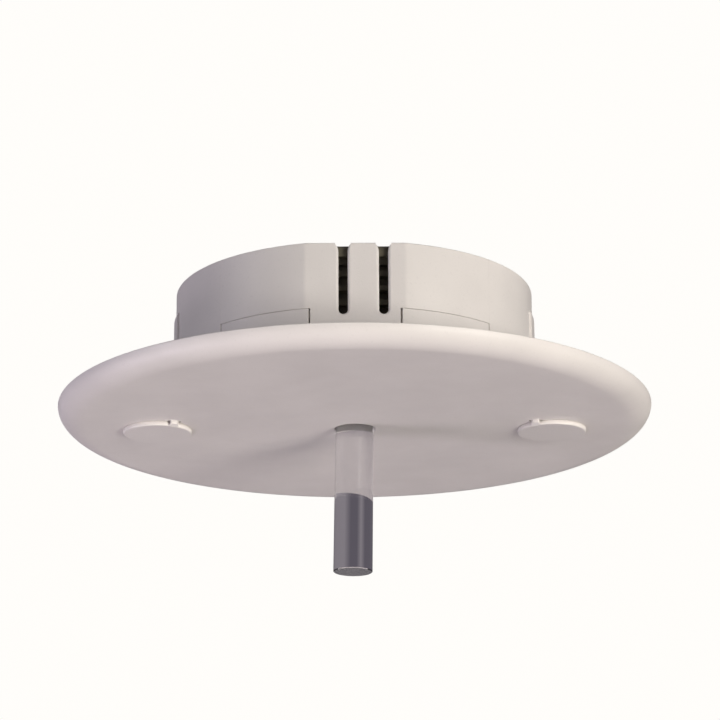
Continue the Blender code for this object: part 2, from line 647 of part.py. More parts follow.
def cable_clamp():
    """A saddle for the field cable: an arch between two screwed ears."""
    base = COVER_Z[1] + GAP
    bore, wall, ear = 3.3 * MM, 1.3 * MM, 11.2 * MM
    side = base + 2.2 * MM
    over = arc((0, side), bore + wall, 0, 180, 12)
    under = arc((0, side), bore, 180, 0, 12)
    outline = [(ear, base), (ear, base + wall), (bore + wall, base + wall), *over, (-bore - wall, base + wall)]
    outline += [(-ear, base + wall), (-ear, base), (-bore, base), *under, (bore, base)]
    bm = prism_mesh(outline, 0.0, 7 * MM)
    stand = Matrix.Translation((0, CLAMP_Y + 3.5 * MM, 0)) @ Matrix.Rotation(math.radians(90), 4, "X")
    bmesh.ops.transform(bm, matrix=stand, verts=bm.verts)
    clamp = from_bmesh("cable_clamp", bm, STEEL)
    for k, x in enumerate(clamp_screw_xs()):
        cut(clamp, rod(f"saddle_hole_{k}", 1.5 * MM, base - 1 * MM, base + 5 * MM, (x, CLAMP_Y), 8, cutter=True))
    return clamp


def cable_clamp_screws():
    low = COVER_Z[1] + GAP + 1.3 * MM + GAP
    for k, x in enumerate(clamp_screw_xs(), 1):
        pan_screw(f"cable_clamp_screw_{k}", (1.15 * MM, 2.3 * MM, 1.4 * MM), low, 26 * MM, (x, CLAMP_Y))


def rear_label():
    low = COVER_Z[1] + 0.2 * MM
    return box("rear_label", (26 * MM, 12 * MM, 0.3 * MM), (0, 26 * MM, low + 0.15 * MM), PAPER)


def light_guide():
    """The rod, turned upright and then leaned about the frame's origin."""
    chamfer = 0.25 * MM
    profile = [
        (0.0, GUIDE_TOP_Z),
        (GUIDE_TOP_RADIUS - chamfer, GUIDE_TOP_Z),
        (GUIDE_TOP_RADIUS, GUIDE_TOP_Z - chamfer),
        (GUIDE_TIP_RADIUS, GUIDE_TIP_Z + chamfer),
        (GUIDE_TIP_RADIUS - chamfer, GUIDE_TIP_Z),
        (0.0, GUIDE_TIP_Z),
    ]
    guide = turned("light_guide", profile, 32, CLEAR)
    guide.rotation_euler.y = math.radians(GUIDE_LEAN)
    return guide


def light_guide_socket():
    """A black sleeve under the board that takes the top of the rod, with a groove for its seal."""
    top, bottom = BOARD_Z[0] - GAP, 3.0 * MM
    outer, bore, lamp_bore, groove = 7.6 * MM, 5.35 * MM, 3.2 * MM, 6.75 * MM
    profile = [
        (9.0 * MM, top),
        (9.0 * MM, top - 1.2 * MM),
        (outer, top - 1.2 * MM),
        (outer, bottom),
        (bore, bottom),
        (bore, SEAL_Z - 0.9 * MM),
        (groove, SEAL_Z - 0.9 * MM),
        (groove, SEAL_Z + 0.9 * MM),
        (bore, SEAL_Z + 0.9 * MM),
        (bore, GUIDE_TOP_Z + 0.4 * MM),
        (lamp_bore, GUIDE_TOP_Z + 0.4 * MM),
        (lamp_bore, top),
    ]
    return turned("light_guide_socket", profile, FINE_STEPS, BLACK)


def o_ring():
    bm = bmesh.new()
    ring, thick = 5.8 * MM, 0.6 * MM
    verts = [bm.verts.new((ring + x, 0, z)) for x, z in arc((0, 0), thick, 0, 300, 5)]
    edges = [bm.edges.new((verts[i], verts[(i + 1) % 6])) for i in range(6)]
    turn = {"cent": (0, 0, 0), "axis": (0, 0, 1), "angle": 2 * math.pi}
    bmesh.ops.spin(bm, geom=verts + edges, steps=FINE_STEPS, use_merge=True, **turn)
    bmesh.ops.remove_doubles(bm, verts=bm.verts, dist=0.00001)
    bmesh.ops.translate(bm, verts=bm.verts, vec=(0, 0, SEAL_Z))
    return from_bmesh("light_guide_o_ring", bm, RUBBER)


def indicator_led():
    top = BOARD_Z[0] - GAP
    base_z = top - 1.0 * MM
    tip = GUIDE_TOP_Z + 0.8 * MM
    dome = arc((0, tip + 2.0 * MM), (2.4 * MM, 2.0 * MM), 0, -90, 5)
    profile = [(0.0, top), (2.8 * MM, top), (2.8 * MM, base_z), (2.4 * MM, base_z), *dome[:-1], (0.0, tip)]
    return turned("indicator_led", profile, 24, RED)


def thermistor(name, place, tip_z, bead):
    """A bead on two stiff leads under the board."""
    x, y = place
    top = BOARD_Z[0] - GAP
    body = turned(name, [(0.0, bead), *arc((0, 0), (bead * 0.75, bead), 60, -60, 4), (0.0, -bead)], 12, EPOXY)
    body.location = (x, y, tip_z + bead)
    for k, side in enumerate((-1, 1)):
        low = tip_z + bead
        lead = rod_mesh(0.3 * MM, 0.0, top - low, (side * 0.7 * MM, 0), 8)
        helper = from_bmesh(f"{name}_lead_{k}", lead, cutter=True)
        helper.location = (x, y, low)
        join(body, helper)
    return body


def thermal_pad():
    low = PLATE_TOP_Z + GAP + 1.0 * MM + 0.2 * MM
    return box("thermal_pad", (6 * MM, 6 * MM, 0.8 * MM), (16 * MM, 0, low + 0.4 * MM), SILICONE)


def microcontroller():
    """A square package on a comb of leads."""
    base = BOARD_Z[1] + GAP
    half, reach, pitch, width, leads = 4.0 * MM, 5.5 * MM, 1.6 * MM, 0.6 * MM, 4
    side = []
    for k in range(leads):
        middle = (k - (leads - 1) / 2) * pitch
        for x, y in ((half, -width), (reach, -width), (reach, width), (half, width)):
            side.append((x, middle + y / 2))
    outline = []
    for quarter in range(4):
        c, s = round(math.cos(quarter * math.pi / 2)), round(math.sin(quarter * math.pi / 2))
        outline += [(c * x - s * y, s * x + c * y) for x, y in side]
    chip = prism("microcontroller", outline, base, base + 0.3 * MM, BLACK)
    size = (2 * half + 0.2 * MM, 2 * half + 0.2 * MM, 1.4 * MM)
    package = box("package", size, (0, 0, base + 0.95 * MM), cutter=True)
    join(chip, package)
    for obj in (chip, package):
        obj.location += Vector((-16 * MM, -10 * MM, 0))
    return chip


def electrolytic_capacitor():
    base = BOARD_Z[1] + GAP
    radius, height = 4.0 * MM, 9.5 * MM
    groove = base + 1.8 * MM
    profile = [
        (0.0, base + height),
        (radius - 0.5 * MM, base + height),
        (radius, base + height - 0.5 * MM),
        (radius, groove + 0.5 * MM),
        (radius - 0.4 * MM, groove),
        (radius, groove - 0.5 * MM),
        (radius, base),
        (0.0, base),
    ]
    can = turned("electrolytic_capacitor", profile, 24, BLACK)
    can.location = (15 * MM, -14 * MM, 0)
    return can


def diode_bridge():
    base = BOARD_Z[1] + GAP
    x, y = 17 * MM, 1 * MM
    bridge = box("diode_bridge", (6.5 * MM, 5 * MM, 2.4 * MM), (x, y, base + 1.4 * MM), BLACK)
    for side in (-1, 1):
        middle = (x + side * 2.4 * MM, y, base + 0.2 * MM)
        join(bridge, box(f"bridge_leads_{side}", (0.9 * MM, 7.6 * MM, 0.4 * MM), middle, cutter=True))
    return bridge


def alarm_relay():
    base = BOARD_Z[1] + GAP
    return box("alarm_relay", (14 * MM, 8 * MM, 9 * MM), (-19 * MM, 8 * MM, base + 4.5 * MM), BLACK)


def chip_parts():
    """Two resistors and two capacitors in a row."""
    base = BOARD_Z[1] + GAP
    for k, name in enumerate(("chip_resistor_1", "chip_capacitor_1", "chip_resistor_2", "chip_capacitor_2")):
        size = (3.2 * MM, 1.6 * MM, (0.6 if "resistor" in name else 1.1) * MM)
        middle = ((k - 1.5) * 5.2 * MM, -22 * MM, base + size[2] / 2)
        box(name, size, middle, BLACK if "resistor" in name else EPOXY)


def build():
    trim_disc()
    ring_gasket()
    heat_collector()
    thermal_pad()
    for side, name in ((-1, "left"), (1, "right")):
        ceiling_screw(side, f"ceiling_screw_{name}")
        cap_cup(side, f"cap_cup_{name}")
        screw_cap(side, f"screw_cap_{name}")
    housing_shell()
    inner_chassis()
    circuit_board()
    board_screws()
    microcontroller()
    electrolytic_capacitor()
    diode_bridge()
    alarm_relay()
    chip_parts()
    indicator_led()
    light_guide_socket()
    o_ring()
    light_guide()
    thermistor("sensing_thermistor", (16 * MM, 0), -0.3 * MM, 1.5 * MM)
    thermistor("reference_thermistor", (-24 * MM, 6 * MM), 6.0 * MM, 1.5 * MM)
    rear_cover()
    rear_cover_screws()
    terminal_block()
    terminal_screws()
    terminal_clamps()
    terminal_pins()
    cable_clamp()
    cable_clamp_screws()
    rear_label()


build()
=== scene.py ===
"""Looks for the flush ceiling heat detector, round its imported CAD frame.

Lengths are in metres, +Z points up into the ceiling and -Y is the front. Azimuths are degrees about +Z,
measured from the front towards +X. Each piece here repeats the place and size of the CAD node that it
replaces, with finer curves, rounded edges and small detail.
"""

import json
import math

import bmesh
import bpy
from mathutils import Matrix, Vector

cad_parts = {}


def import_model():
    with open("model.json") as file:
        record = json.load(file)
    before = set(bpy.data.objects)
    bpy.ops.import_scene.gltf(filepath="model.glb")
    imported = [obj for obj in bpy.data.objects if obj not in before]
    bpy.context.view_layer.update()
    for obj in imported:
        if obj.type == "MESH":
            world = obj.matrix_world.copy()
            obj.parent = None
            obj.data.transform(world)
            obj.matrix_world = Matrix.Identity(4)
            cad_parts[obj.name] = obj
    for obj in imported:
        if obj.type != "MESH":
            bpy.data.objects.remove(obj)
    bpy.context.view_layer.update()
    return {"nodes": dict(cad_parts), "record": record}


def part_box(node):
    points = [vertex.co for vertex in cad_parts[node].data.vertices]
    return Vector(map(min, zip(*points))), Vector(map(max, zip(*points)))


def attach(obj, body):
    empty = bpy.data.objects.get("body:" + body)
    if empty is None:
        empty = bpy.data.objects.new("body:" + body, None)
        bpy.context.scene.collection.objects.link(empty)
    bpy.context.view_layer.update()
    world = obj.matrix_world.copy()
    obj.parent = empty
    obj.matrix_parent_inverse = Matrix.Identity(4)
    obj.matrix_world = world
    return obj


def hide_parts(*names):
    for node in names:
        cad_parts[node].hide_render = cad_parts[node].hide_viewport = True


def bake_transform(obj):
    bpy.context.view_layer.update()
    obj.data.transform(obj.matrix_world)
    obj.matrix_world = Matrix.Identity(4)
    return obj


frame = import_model()

MM = 0.001
TAU = 2 * math.pi

TRIM, HOUSING, GUIDE = "trim", "housing", "light_guide"
SIDES = ((-1, "left"), (1, "right"))

# Sizes and places shared by several pieces.
TRIM_RADIUS = 77.5 * MM
FACE_Z = -4.8 * MM
PLATE_TOP_Z = -2.8 * MM
GUIDE_HOLE = 5.3 * MM
HOUSING_RADIUS = 47.0 * MM
FLAT_Y = 45.4 * MM
HOUSING_TOP_Z = 31.2 * MM
NOTCH_TOP_Z = 13.9 * MM
INSIDE_FLAT_Y = 41.5 * MM
COLLAR = (43.2 * MM, 44.9 * MM)
SLOTS = (-3.05 * MM, 7.1 * MM)
SLOT_HALF = 1.15 * MM
SLOT_BOTTOM_Z = 12.55 * MM
SLOT_ROUND = 0.78 * MM
SLOT_FLARE_HEIGHT = 1.9 * MM
SLOT_MOUTH = 0.45 * MM
COVER_FLAT_Y = 43.0 * MM
FIXING_X = 51.6 * MM
SEAT_Z = FACE_Z + 0.75 * MM
CAP_RADIUS = 8.95 * MM
CAP_BOTTOM_Z = FACE_Z - 1.2 * MM
POST_RING = 35.4 * MM
BOARD_POSTS = (0, 120, 240)
COVER_POSTS = (60, 180, 300)
POLE_PITCH = 6.2 * MM
CLAMP_SCREW_X = 8.2 * MM
CLAMP_Y = -15.0 * MM
GUIDE_LEAN = math.radians(0.9)
THROUGH = (0.105, 0.094, 0.115)  # the colour of the dim room that shows through the rod


# ---------------------------------------------------------------- mesh tools


def place_object(name, mesh, material):
    obj = bpy.data.objects.new(name, mesh)
    bpy.context.scene.collection.objects.link(obj)
    if material:
        mesh.materials.append(material)
    return obj


def from_bmesh(name, bm, material=None):
    mesh = bpy.data.meshes.new(name)
    bmesh.ops.recalc_face_normals(bm, faces=bm.faces)
    bm.to_mesh(mesh)
    bm.free()
    return place_object(name, mesh, material)


def arc(center, radius, start, stop, steps):
    """Points round an arc, from start to stop degrees; radius may be a pair for an ellipse."""
    rx, ry = radius if isinstance(radius, tuple) else (radius, radius)
    angles = [math.radians(start + (stop - start) * i / steps) for i in range(steps + 1)]
    return [(center[0] + rx * math.cos(a), center[1] + ry * math.sin(a)) for a in angles]


def on_ring(radius, azimuth):
    angle = math.radians(azimuth)
    return radius * math.sin(angle), -radius * math.cos(angle)


def lathe_mesh(profile, steps, at=(0.0, 0.0)):
    """A bmesh turned about Z from (radius, z) points, which close up unless both ends lie on the axis."""
    bm = bmesh.new()
    rings = []
    for radius, z in profile:
        if radius < 1e-9:
            rings.append([bm.verts.new((at[0], at[1], z))])
        else:
            turn = [TAU * k / steps for k in range(steps)]
            spots = [(at[0] + radius * math.cos(a), at[1] + radius * math.sin(a), z) for a in turn]
            rings.append([bm.verts.new(spot) for spot in spots])
    pairs = list(zip(rings, rings[1:]))
    if len(rings[0]) > 1:
        pairs.append((rings[-1], rings[0]))
    for upper, lower in pairs:
        for k in range(steps):
            n = (k + 1) % steps
            corners = [upper[k % len(upper)], upper[n % len(upper)]]
            corners += [lower[n % len(lower)], lower[k % len(lower)]]
            unique = [v for i, v in enumerate(corners) if v not in corners[:i]]
            if len(unique) > 2:
                bm.faces.new(unique)
    return bm


def lathe(name, profile, steps, material=None, at=(0.0, 0.0)):
    return from_bmesh(name, lathe_mesh(profile, steps, at), material)


def loft_mesh(layers):
    """A bmesh through layers of equal outlines, closed by a face at each end."""
    bm = bmesh.new()
    rings = [[bm.verts.new(point) for point in layer] for layer in layers]
    count = len(rings[0])
    for low, high in zip(rings, rings[1:]):
        for k in range(count):
            n = (k + 1) % count
            bm.faces.new((low[k], low[n], high[n], high[k]))
    bm.faces.new(rings[0])
    bm.faces.new(rings[-1])
    return bm


def prism_mesh(outline, low, high):
    return loft_mesh([[(x, y, low) for x, y in outline], [(x, y, high) for x, y in outline]])


def prism(name, outline, low, high, material=None):
    return from_bmesh(name, prism_mesh(outline, low, high), material)


def rounded_prism(name, outline, low, high, edge, material=None, segments=2):
    obj = prism(name, outline, low, high, material)
    return bevel(obj, edge, segments)


def box(name, size, center, material=None, edge=0.0, turn=0.0, segments=2):
    bm = bmesh.new()
    bmesh.ops.create_cube(bm, size=1.0, matrix=Matrix.Diagonal((*size, 1.0)))
    spin = Matrix.Rotation(turn, 4, "Z")
    bmesh.ops.transform(bm, matrix=Matrix.Translation(center) @ spin, verts=bm.verts)
    obj = from_bmesh(name, bm, material)
    return bevel(obj, edge, segments) if edge else obj


def rod(name, radius, low, high, at=(0.0, 0.0), steps=48, material=None):
    return lathe(name, [(0.0, high), (radius, high), (radius, low), (0.0, low)], steps, material, at)


def bevel(obj, width, segments=2, choose=None, angle=40.0):
    """Rounds the edges sharper than an angle, or those that choose(edge) picks."""
    bm = bmesh.new()
    bm.from_mesh(obj.data)
    limit = math.radians(angle)
    edges = []
    for edge in bm.edges:
        is_sharp = len(edge.link_faces) == 2 and edge.calc_face_angle(0.0) > limit
        if is_sharp and (choose is None or choose(edge)):
            edges.append(edge)
    bmesh.ops.bevel(
        bm, geom=edges, offset=width, segments=segments, profile=0.5, affect="EDGES", clamp_overlap=True
    )
    bm.to_mesh(obj.data)
    bm.free()
    return obj


def combine(obj, operation, others):
    """Joins or cuts with other objects, which are used up."""
    for other in others:
        modifier = obj.modifiers.new("combine", "BOOLEAN")
        modifier.operation = operation
        modifier.solver = "EXACT"
        modifier.object = other
    bpy.context.view_layer.update()
    result = bpy.data.meshes.new_from_object(obj.evaluated_get(bpy.context.evaluated_depsgraph_get()))
    obj.modifiers.clear()
    old, obj.data = obj.data, result
    result.name = obj.name
    bpy.data.meshes.remove(old)
    for other in others:
        mesh = other.data
        bpy.data.objects.remove(other, do_unlink=True)
        bpy.data.meshes.remove(mesh)
    return obj


def join(obj, *others):
    return combine(obj, "UNION", others)


def cut(obj, *others):
    return combine(obj, "DIFFERENCE", others)


def settle(obj, body, *nodes, sharp=50.0, slot=None):
    """Shades a piece, ties it to its body and lets it stand for CAD nodes."""
    obj.data.shade_smooth()
    obj.data.set_sharp_from_angle(angle=math.radians(sharp))
    modifier = obj.modifiers.new("normals", "WEIGHTED_NORMAL")
    modifier.keep_sharp = True
    bpy.context.view_layer.update()
    result = bpy.data.meshes.new_from_object(obj.evaluated_get(bpy.context.evaluated_depsgraph_get()))
    obj.modifiers.clear()
    old, obj.data = obj.data, result
    result.name = obj.name
    bpy.data.meshes.remove(old)
    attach(obj, body)
    if nodes:
        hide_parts(*nodes)
    return obj


def ring_piece(inner, outer, start, stop, low, high, steps, slant=0.0):
    """Part of a ring between two azimuths. A slant widens its low end, in degrees at each side."""
    layers = []
    for z, spread in ((low, slant), (high, 0.0)):
        a, b = start - spread - 90, stop + spread - 90
        outline = arc((0, 0), outer, a, b, steps) + arc((0, 0), inner, b, a, steps)
        layers.append([(x, y, z) for x, y in outline])
    return loft_mesh(layers)


def four_places(start, stop):
    """A feature's places front right, front left, back right and back left."""
    return [(start, stop), (-stop, -start), (180 - stop, 180 - start), (180 + start, 180 + stop)]


# ---------------------------------------------------------------- materials


class Nodes:
    """A short way to write a node tree: numbers and colours set a socket, sockets link to it."""

    def __init__(self, material):
        self.tree = material.node_tree
        self.shader = self.tree.nodes["Principled BSDF"]

    def set(self, socket, value):
        if isinstance(value, bpy.types.NodeSocket):
            self.tree.links.new(value, socket)
        else:
            socket.default_value = value

    def node(self, kind, settings=None, **inputs):
        node = self.tree.nodes.new(kind)
        for key, value in (settings or {}).items():
            setattr(node, key, value)
        for key, value in inputs.items():
            self.set(node.inputs[key.replace("_", " ")], value)
        return node

    def coordinates(self, scale=(1.0, 1.0, 1.0)):
        where = self.node("ShaderNodeTexCoord").outputs["Object"]
        return self.node("ShaderNodeMapping", Vector=where, Scale=scale).outputs["Vector"]

    def noise(self, scale, detail=2.0, stretch=(1.0, 1.0, 1.0), roughness=0.5):
        vector = self.coordinates(stretch)
        return self.node(
            "ShaderNodeTexNoise", Vector=vector, Scale=scale, Detail=detail, Roughness=roughness
        ).outputs["Fac"]

    def between(self, share, low, high, start=0.3, stop=0.7):
        return self.node(
            "ShaderNodeMapRange", Value=share, From_Min=start, From_Max=stop, To_Min=low, To_Max=high
        ).outputs["Result"]

    def mix(self, share, first, second):
        node = self.tree.nodes.new("ShaderNodeMix")
        node.data_type = "RGBA"
        color_a, color_b, color_result = 6, 7, 2  # by number, because other sockets share their names
        self.set(node.inputs["Factor"], share)
        self.set(node.inputs[color_a], first)
        self.set(node.inputs[color_b], second)
        return node.outputs[color_result]

    def bump(self, height, distance, strength=1.0, normal=None):
        node = self.node("ShaderNodeBump", Height=height, Distance=distance, Strength=strength)
        if normal is not None:
            self.set(node.inputs["Normal"], normal)
        return node.outputs["Normal"]


def new_material(name):
    material = bpy.data.materials.new(name)
    material.use_nodes = True
    return material, Nodes(material)


def shade(color, factor):
    return tuple(min(1.0, c * factor) for c in color[:3]) + (1.0,)


def moulded(name, color, roughness, grain=0.02, spread=0.05, metallic=0.0, patch=45.0):
    """Moulded plastic: slow colour drift, fine spark-eroded grain and uneven gloss."""
    material, n = new_material(name)
    drift = n.noise(patch, 3.0)
    base = n.mix(n.between(drift, 0.0, 1.0), shade(color, 1 - spread), shade(color, 1 + spread * 0.6))
    specks = n.noise(1500.0, 1.0)
    base = n.mix(n.between(specks, 0.0, 0.25, 0.62, 0.72), base, shade(color, 1 - spread * 2.5))
    n.set(n.shader.inputs["Base Color"], base)
    n.set(n.shader.inputs["Roughness"], n.between(n.noise(160.0, 3.0), roughness - 0.06, roughness + 0.08))
    n.shader.inputs["Metallic"].default_value = metallic
    fine = n.bump(n.noise(3600.0, 2.0), grain * MM)
    n.set(n.shader.inputs["Normal"], n.bump(n.noise(75.0, 2.0), 0.05 * MM, 1.0, fine))
    return material


def metal(name, color, roughness, stretch=(1.0, 1.0, 1.0), scale=900.0, tarnish=0.12):
    """Metal with drawn or rolled marks and a little tarnish."""
    material, n = new_material(name)
    marks = n.noise(scale, 3.0, stretch)
    spots = n.noise(220.0, 4.0)
    base = n.mix(n.between(spots, 0.0, 1.0, 0.35, 0.75), shade(color, 1.05), shade(color, 1 - tarnish))
    n.set(n.shader.inputs["Base Color"], base)
    n.shader.inputs["Metallic"].default_value = 1.0
    n.set(n.shader.inputs["Roughness"], n.between(marks, roughness - 0.08, roughness + 0.14))
    n.set(n.shader.inputs["Normal"], n.bump(marks, 0.008 * MM))
    return material


def clear_acrylic(name, roughness, color=(0.97, 0.97, 0.98, 1.0), scratches=0.004, clearness=1.0):
    """Cast acrylic rod with fine lengthwise scratches."""
    material, n = new_material(name)
    lines = n.noise(900.0, 2.0, (1.0, 1.0, 0.02))
    haze = n.between(n.noise(300.0), 0.0, 1.0)
    n.set(n.shader.inputs["Base Color"], n.mix(haze, color, shade(color, 0.985)))
    n.set(n.shader.inputs["Roughness"], n.between(lines, roughness, roughness + 0.03, 0.5, 0.8))
    n.shader.inputs["Transmission Weight"].default_value = clearness
    n.shader.inputs["IOR"].default_value = 1.49
    n.set(n.shader.inputs["Normal"], n.bump(lines, scratches * MM))
    return material


def foam(name, color):
    material, n = new_material(name)
    cells = n.node("ShaderNodeTexVoronoi", Vector=n.coordinates(), Scale=1600.0).outputs["Distance"]
    # painted shade: the pores, where the bump sinks, are painted darker and the rims between them are
    # painted lighter
    depth = n.between(cells, 0.0, 1.0, 0.1, 0.6)
    n.set(n.shader.inputs["Base Color"], n.mix(depth, shade(color, 0.7), shade(color, 1.2)))
    n.set(n.shader.inputs["Roughness"], n.between(n.noise(300.0), 0.85, 0.98))
    n.set(n.shader.inputs["Normal"], n.bump(cells, 0.15 * MM))
    return material


def laminate(name):
    """Green board: solder mask over faint copper tracks."""
    material, n = new_material(name)
    weave = n.node("ShaderNodeTexBrick", Vector=n.coordinates(), Scale=220.0).outputs["Fac"]
    green, track = (0.012, 0.10, 0.045, 1.0), (0.03, 0.19, 0.08, 1.0)
    n.set(n.shader.inputs["Base Color"], n.mix(n.between(weave, 0.0, 1.0, 0.0, 1.0), track, green))
    n.set(n.shader.inputs["Roughness"], n.between(n.noise(400.0), 0.25, 0.4))
    n.set(n.shader.inputs["Normal"], n.bump(weave, 0.03 * MM))
    return material


WHITE = moulded("white_plastic", (0.80, 0.755, 0.725), 0.42)
DARK = moulded("dark_plastic", (0.115, 0.104, 0.072), 0.5, grain=0.03, spread=0.15)
BLACK = moulded("black_plastic", (0.020, 0.020, 0.021), 0.45, grain=0.02, spread=0.15)
GREEN = moulded("terminal_plastic", (0.035, 0.23, 0.10), 0.38, spread=0.1)
RED = moulded("red_lens", (0.60, 0.02, 0.02), 0.2, grain=0.004)
EPOXY = moulded("brown_epoxy", (0.16, 0.06, 0.025), 0.3, spread=0.2)
PAPER = moulded("label_film", (0.74, 0.74, 0.71), 0.5, grain=0.01, spread=0.04)
SILICONE = moulded("grey_silicone", (0.36, 0.38, 0.42), 0.75)
RUBBER = moulded("black_rubber", (0.022, 0.022, 0.022), 0.7, spread=0.2)
ZINC = metal("zinc_steel", (0.66, 0.66, 0.63), 0.32)
BRASS = metal("brass", (0.72, 0.52, 0.24), 0.32)
ALUMINIUM = metal("aluminium", (0.80, 0.80, 0.82), 0.38, stretch=(1.0, 0.03, 1.0), scale=1400.0)
FOAM = foam("grey_foam", (0.16, 0.16, 0.17))
BOARD = laminate("board_laminate")
CLEAR = clear_acrylic("clear_acrylic", 0.0)
CLEAR_CUT = clear_acrylic("sawn_acrylic", 0.22, (0.93, 0.93, 0.95, 1.0), 0.02, 0.74)

SLOT_MATERIALS = {
    "white_plastic": WHITE,
    "dark_plastic": DARK,
    "black_plastic": BLACK,
    "clear_acrylic": CLEAR,
    "board_laminate": BOARD,
    "terminal_plastic": GREEN,
    "zinc_steel": ZINC,
    "brass": BRASS,
    "aluminium": ALUMINIUM,
    "grey_foam": FOAM,
    "black_rubber": RUBBER,
    "grey_silicone": SILICONE,
    "red_lens": RED,
    "brown_epoxy": EPOXY,
    "label_film": PAPER,
}


def dress_cad_nodes():
    """Every CAD node that stays gets its slot's material."""
    slots = {row["node"]: row["material_slot"] for row in frame["record"]["subparts"]}
    for node, obj in frame["nodes"].items():
        for material_slot in obj.material_slots:
            material_slot.material = SLOT_MATERIALS[slots[node]]


# ---------------------------------------------------------------- trim disc


def hinge_direction(side):
    """From a fixing's centre towards its cap's hinge: 60 degrees from inwards, towards the front."""
    return Vector((-side * math.cos(math.radians(60)), -math.sin(math.radians(60)), 0.0))


def trim_profile():
    rim = arc((TRIM_RADIUS - 0.2 * MM, -0.2 * MM), 0.2 * MM, 90, 0, 3)
    outer = arc((TRIM_RADIUS - 7.0 * MM, 0), (7.0 * MM, 4.8 * MM), -3, -90, 20)
    face = [(69.8 * MM, FACE_Z), (9.0 * MM, FACE_Z)]
    lip = arc((GUIDE_HOLE + 0.3 * MM, FACE_Z + 0.3 * MM), 0.3 * MM, 270, 180, 4)
    tube = arc((GUIDE_HOLE + 0.2 * MM, 0.8 * MM), 0.2 * MM, 180, 90, 3)
    tube += arc((7.2 * MM, 0.8 * MM), 0.2 * MM, 90, 0, 3)
    foot = arc((7.9 * MM, PLATE_TOP_Z + 0.5 * MM), 0.5 * MM, 180, 270, 4)
    inner = [(68.0 * MM, PLATE_TOP_Z)]
    inner += arc((TRIM_RADIUS - 7.0 * MM, 0), (5.2 * MM, 2.8 * MM), -90, -4, 10)
    return rim + outer + face + lip + tube + foot + inner + [(75.9 * MM, 0.0)]


def trim_disc():
    trim = lathe("trim_disc_fine", trim_profile(), 256, WHITE)
    inside = -3.8 * MM  # within the plate, so that every part joins it
    tab_top = NOTCH_TOP_Z - 0.09 * MM
    parts = []
    for start, stop in ((17, 163), (197, 343)):
        piece = from_bmesh("collar", ring_piece(*COLLAR, start, stop, inside, 3.0 * MM, 80))
        parts.append(bevel(piece, 0.2 * MM))
    for start, stop in four_places(14.5, 46.1):
        piece = from_bmesh("tab", ring_piece(44.5 * MM, HOUSING_RADIUS, start, stop, inside, tab_top, 24))
        parts.append(bevel(piece, 0.08 * MM))
    for start, stop in four_places(17, 43):
        piece = from_bmesh("tongue", ring_piece(*COLLAR, start, stop, inside, 16.5 * MM, 20))
        parts.append(bevel(piece, 0.25 * MM))
    for azimuth in range(0, 360, 30):
        if azimuth in (90, 270):
            continue
        middle = (*on_ring(52.45 * MM, azimuth), -2.05 * MM)
        size = (1.4 * MM, 16.1 * MM, 3.5 * MM)
        parts.append(box("rib", size, middle, edge=0.3 * MM, turn=math.radians(azimuth)))
    for side, _ in SIDES:
        boss = rod("boss", 8.8 * MM, inside, -0.3 * MM, (side * FIXING_X, 0), 64)
        parts.append(bevel(boss, 0.25 * MM))
    join(trim, *parts)
    cutters = []
    for side, _ in SIDES:
        place = (side * FIXING_X, 0)
        cutters.append(rod("seat", 8.6 * MM, FACE_Z - 2 * MM, SEAT_Z, place, 64))
        cutters.append(rod("pocket", 7.3 * MM, FACE_Z - 2 * MM, -1.9 * MM, place, 64))
        cutters.append(rod("hole", 2.3 * MM, FACE_Z - 2 * MM, 2 * MM, place, 32))
        u = hinge_direction(side)
        middle = Vector((side * FIXING_X, 0, 0)) + u * 8.6 * MM
        middle.z = (FACE_Z - 1 * MM + SEAT_Z) / 2
        size = (3.8 * MM, 3.2 * MM, SEAT_Z - FACE_Z + 1 * MM)
        cutters.append(box("groove", size, middle, turn=math.atan2(u.y, u.x)))
    cut(trim, *cutters)
    return settle(trim, TRIM, "trim_disc", slot="white_plastic")


def cap_cup(side, name):
    """The cup under a cap, and the nib that its hinge film starts from."""
    floor = -2.2 * MM
    rim, wall, bore = FACE_Z + 0.05 * MM, 7.0 * MM, 6.2 * MM
    profile = [
        (wall - 0.2 * MM, floor),
        (wall, floor - 0.2 * MM),
        (wall, SEAT_Z - 0.3 * MM),
        (8.2 * MM, SEAT_Z - 0.3 * MM),
        (8.3 * MM, SEAT_Z - 0.4 * MM),
        (8.3 * MM, rim + 0.1 * MM),
        (8.2 * MM, rim),
        (bore + 0.2 * MM, rim),
        (bore, rim + 0.2 * MM),
        (bore, floor - 0.75 * MM),
        (2.4 * MM, floor - 0.75 * MM),
        (2.2 * MM, floor - 0.55 * MM),
        (2.2 * MM, floor),
    ]
    cup = lathe(f"{name}_fine", profile, 72, WHITE, (side * FIXING_X, 0))
    u = hinge_direction(side)
    turn = math.atan2(u.y, u.x)
    center = Vector((side * FIXING_X, 0, 0))
    strap_middle = center + u * 9.1 * MM
    strap_middle.z = rim + 0.2 * MM
    strap = box("strap", (2.6 * MM, 2.6 * MM, 0.4 * MM), strap_middle, edge=0.06 * MM, turn=turn)
    nib_middle = center + u * 10.03 * MM
    nib_low = CAP_BOTTOM_Z + 0.28 * MM
    nib_middle.z = (nib_low + rim + 0.2 * MM) / 2
    nib_outline = ((-0.36, -1.25), (0.1, -1.25), (0.36, -0.7), (0.36, 0.45), (-0.36, 1.25))
    spin = Matrix.Rotation(turn, 4, "Z")
    corners = [spin @ Vector((x, -side * y, 0)) * MM + nib_middle for x, y in nib_outline]
    nib = prism("nib", [c.xy for c in corners], nib_low, rim + 0.2 * MM)
    bevel(nib, 0.12 * MM, 3)
    join(cup, strap, nib)
    return settle(cup, TRIM, name, slot="white_plastic")


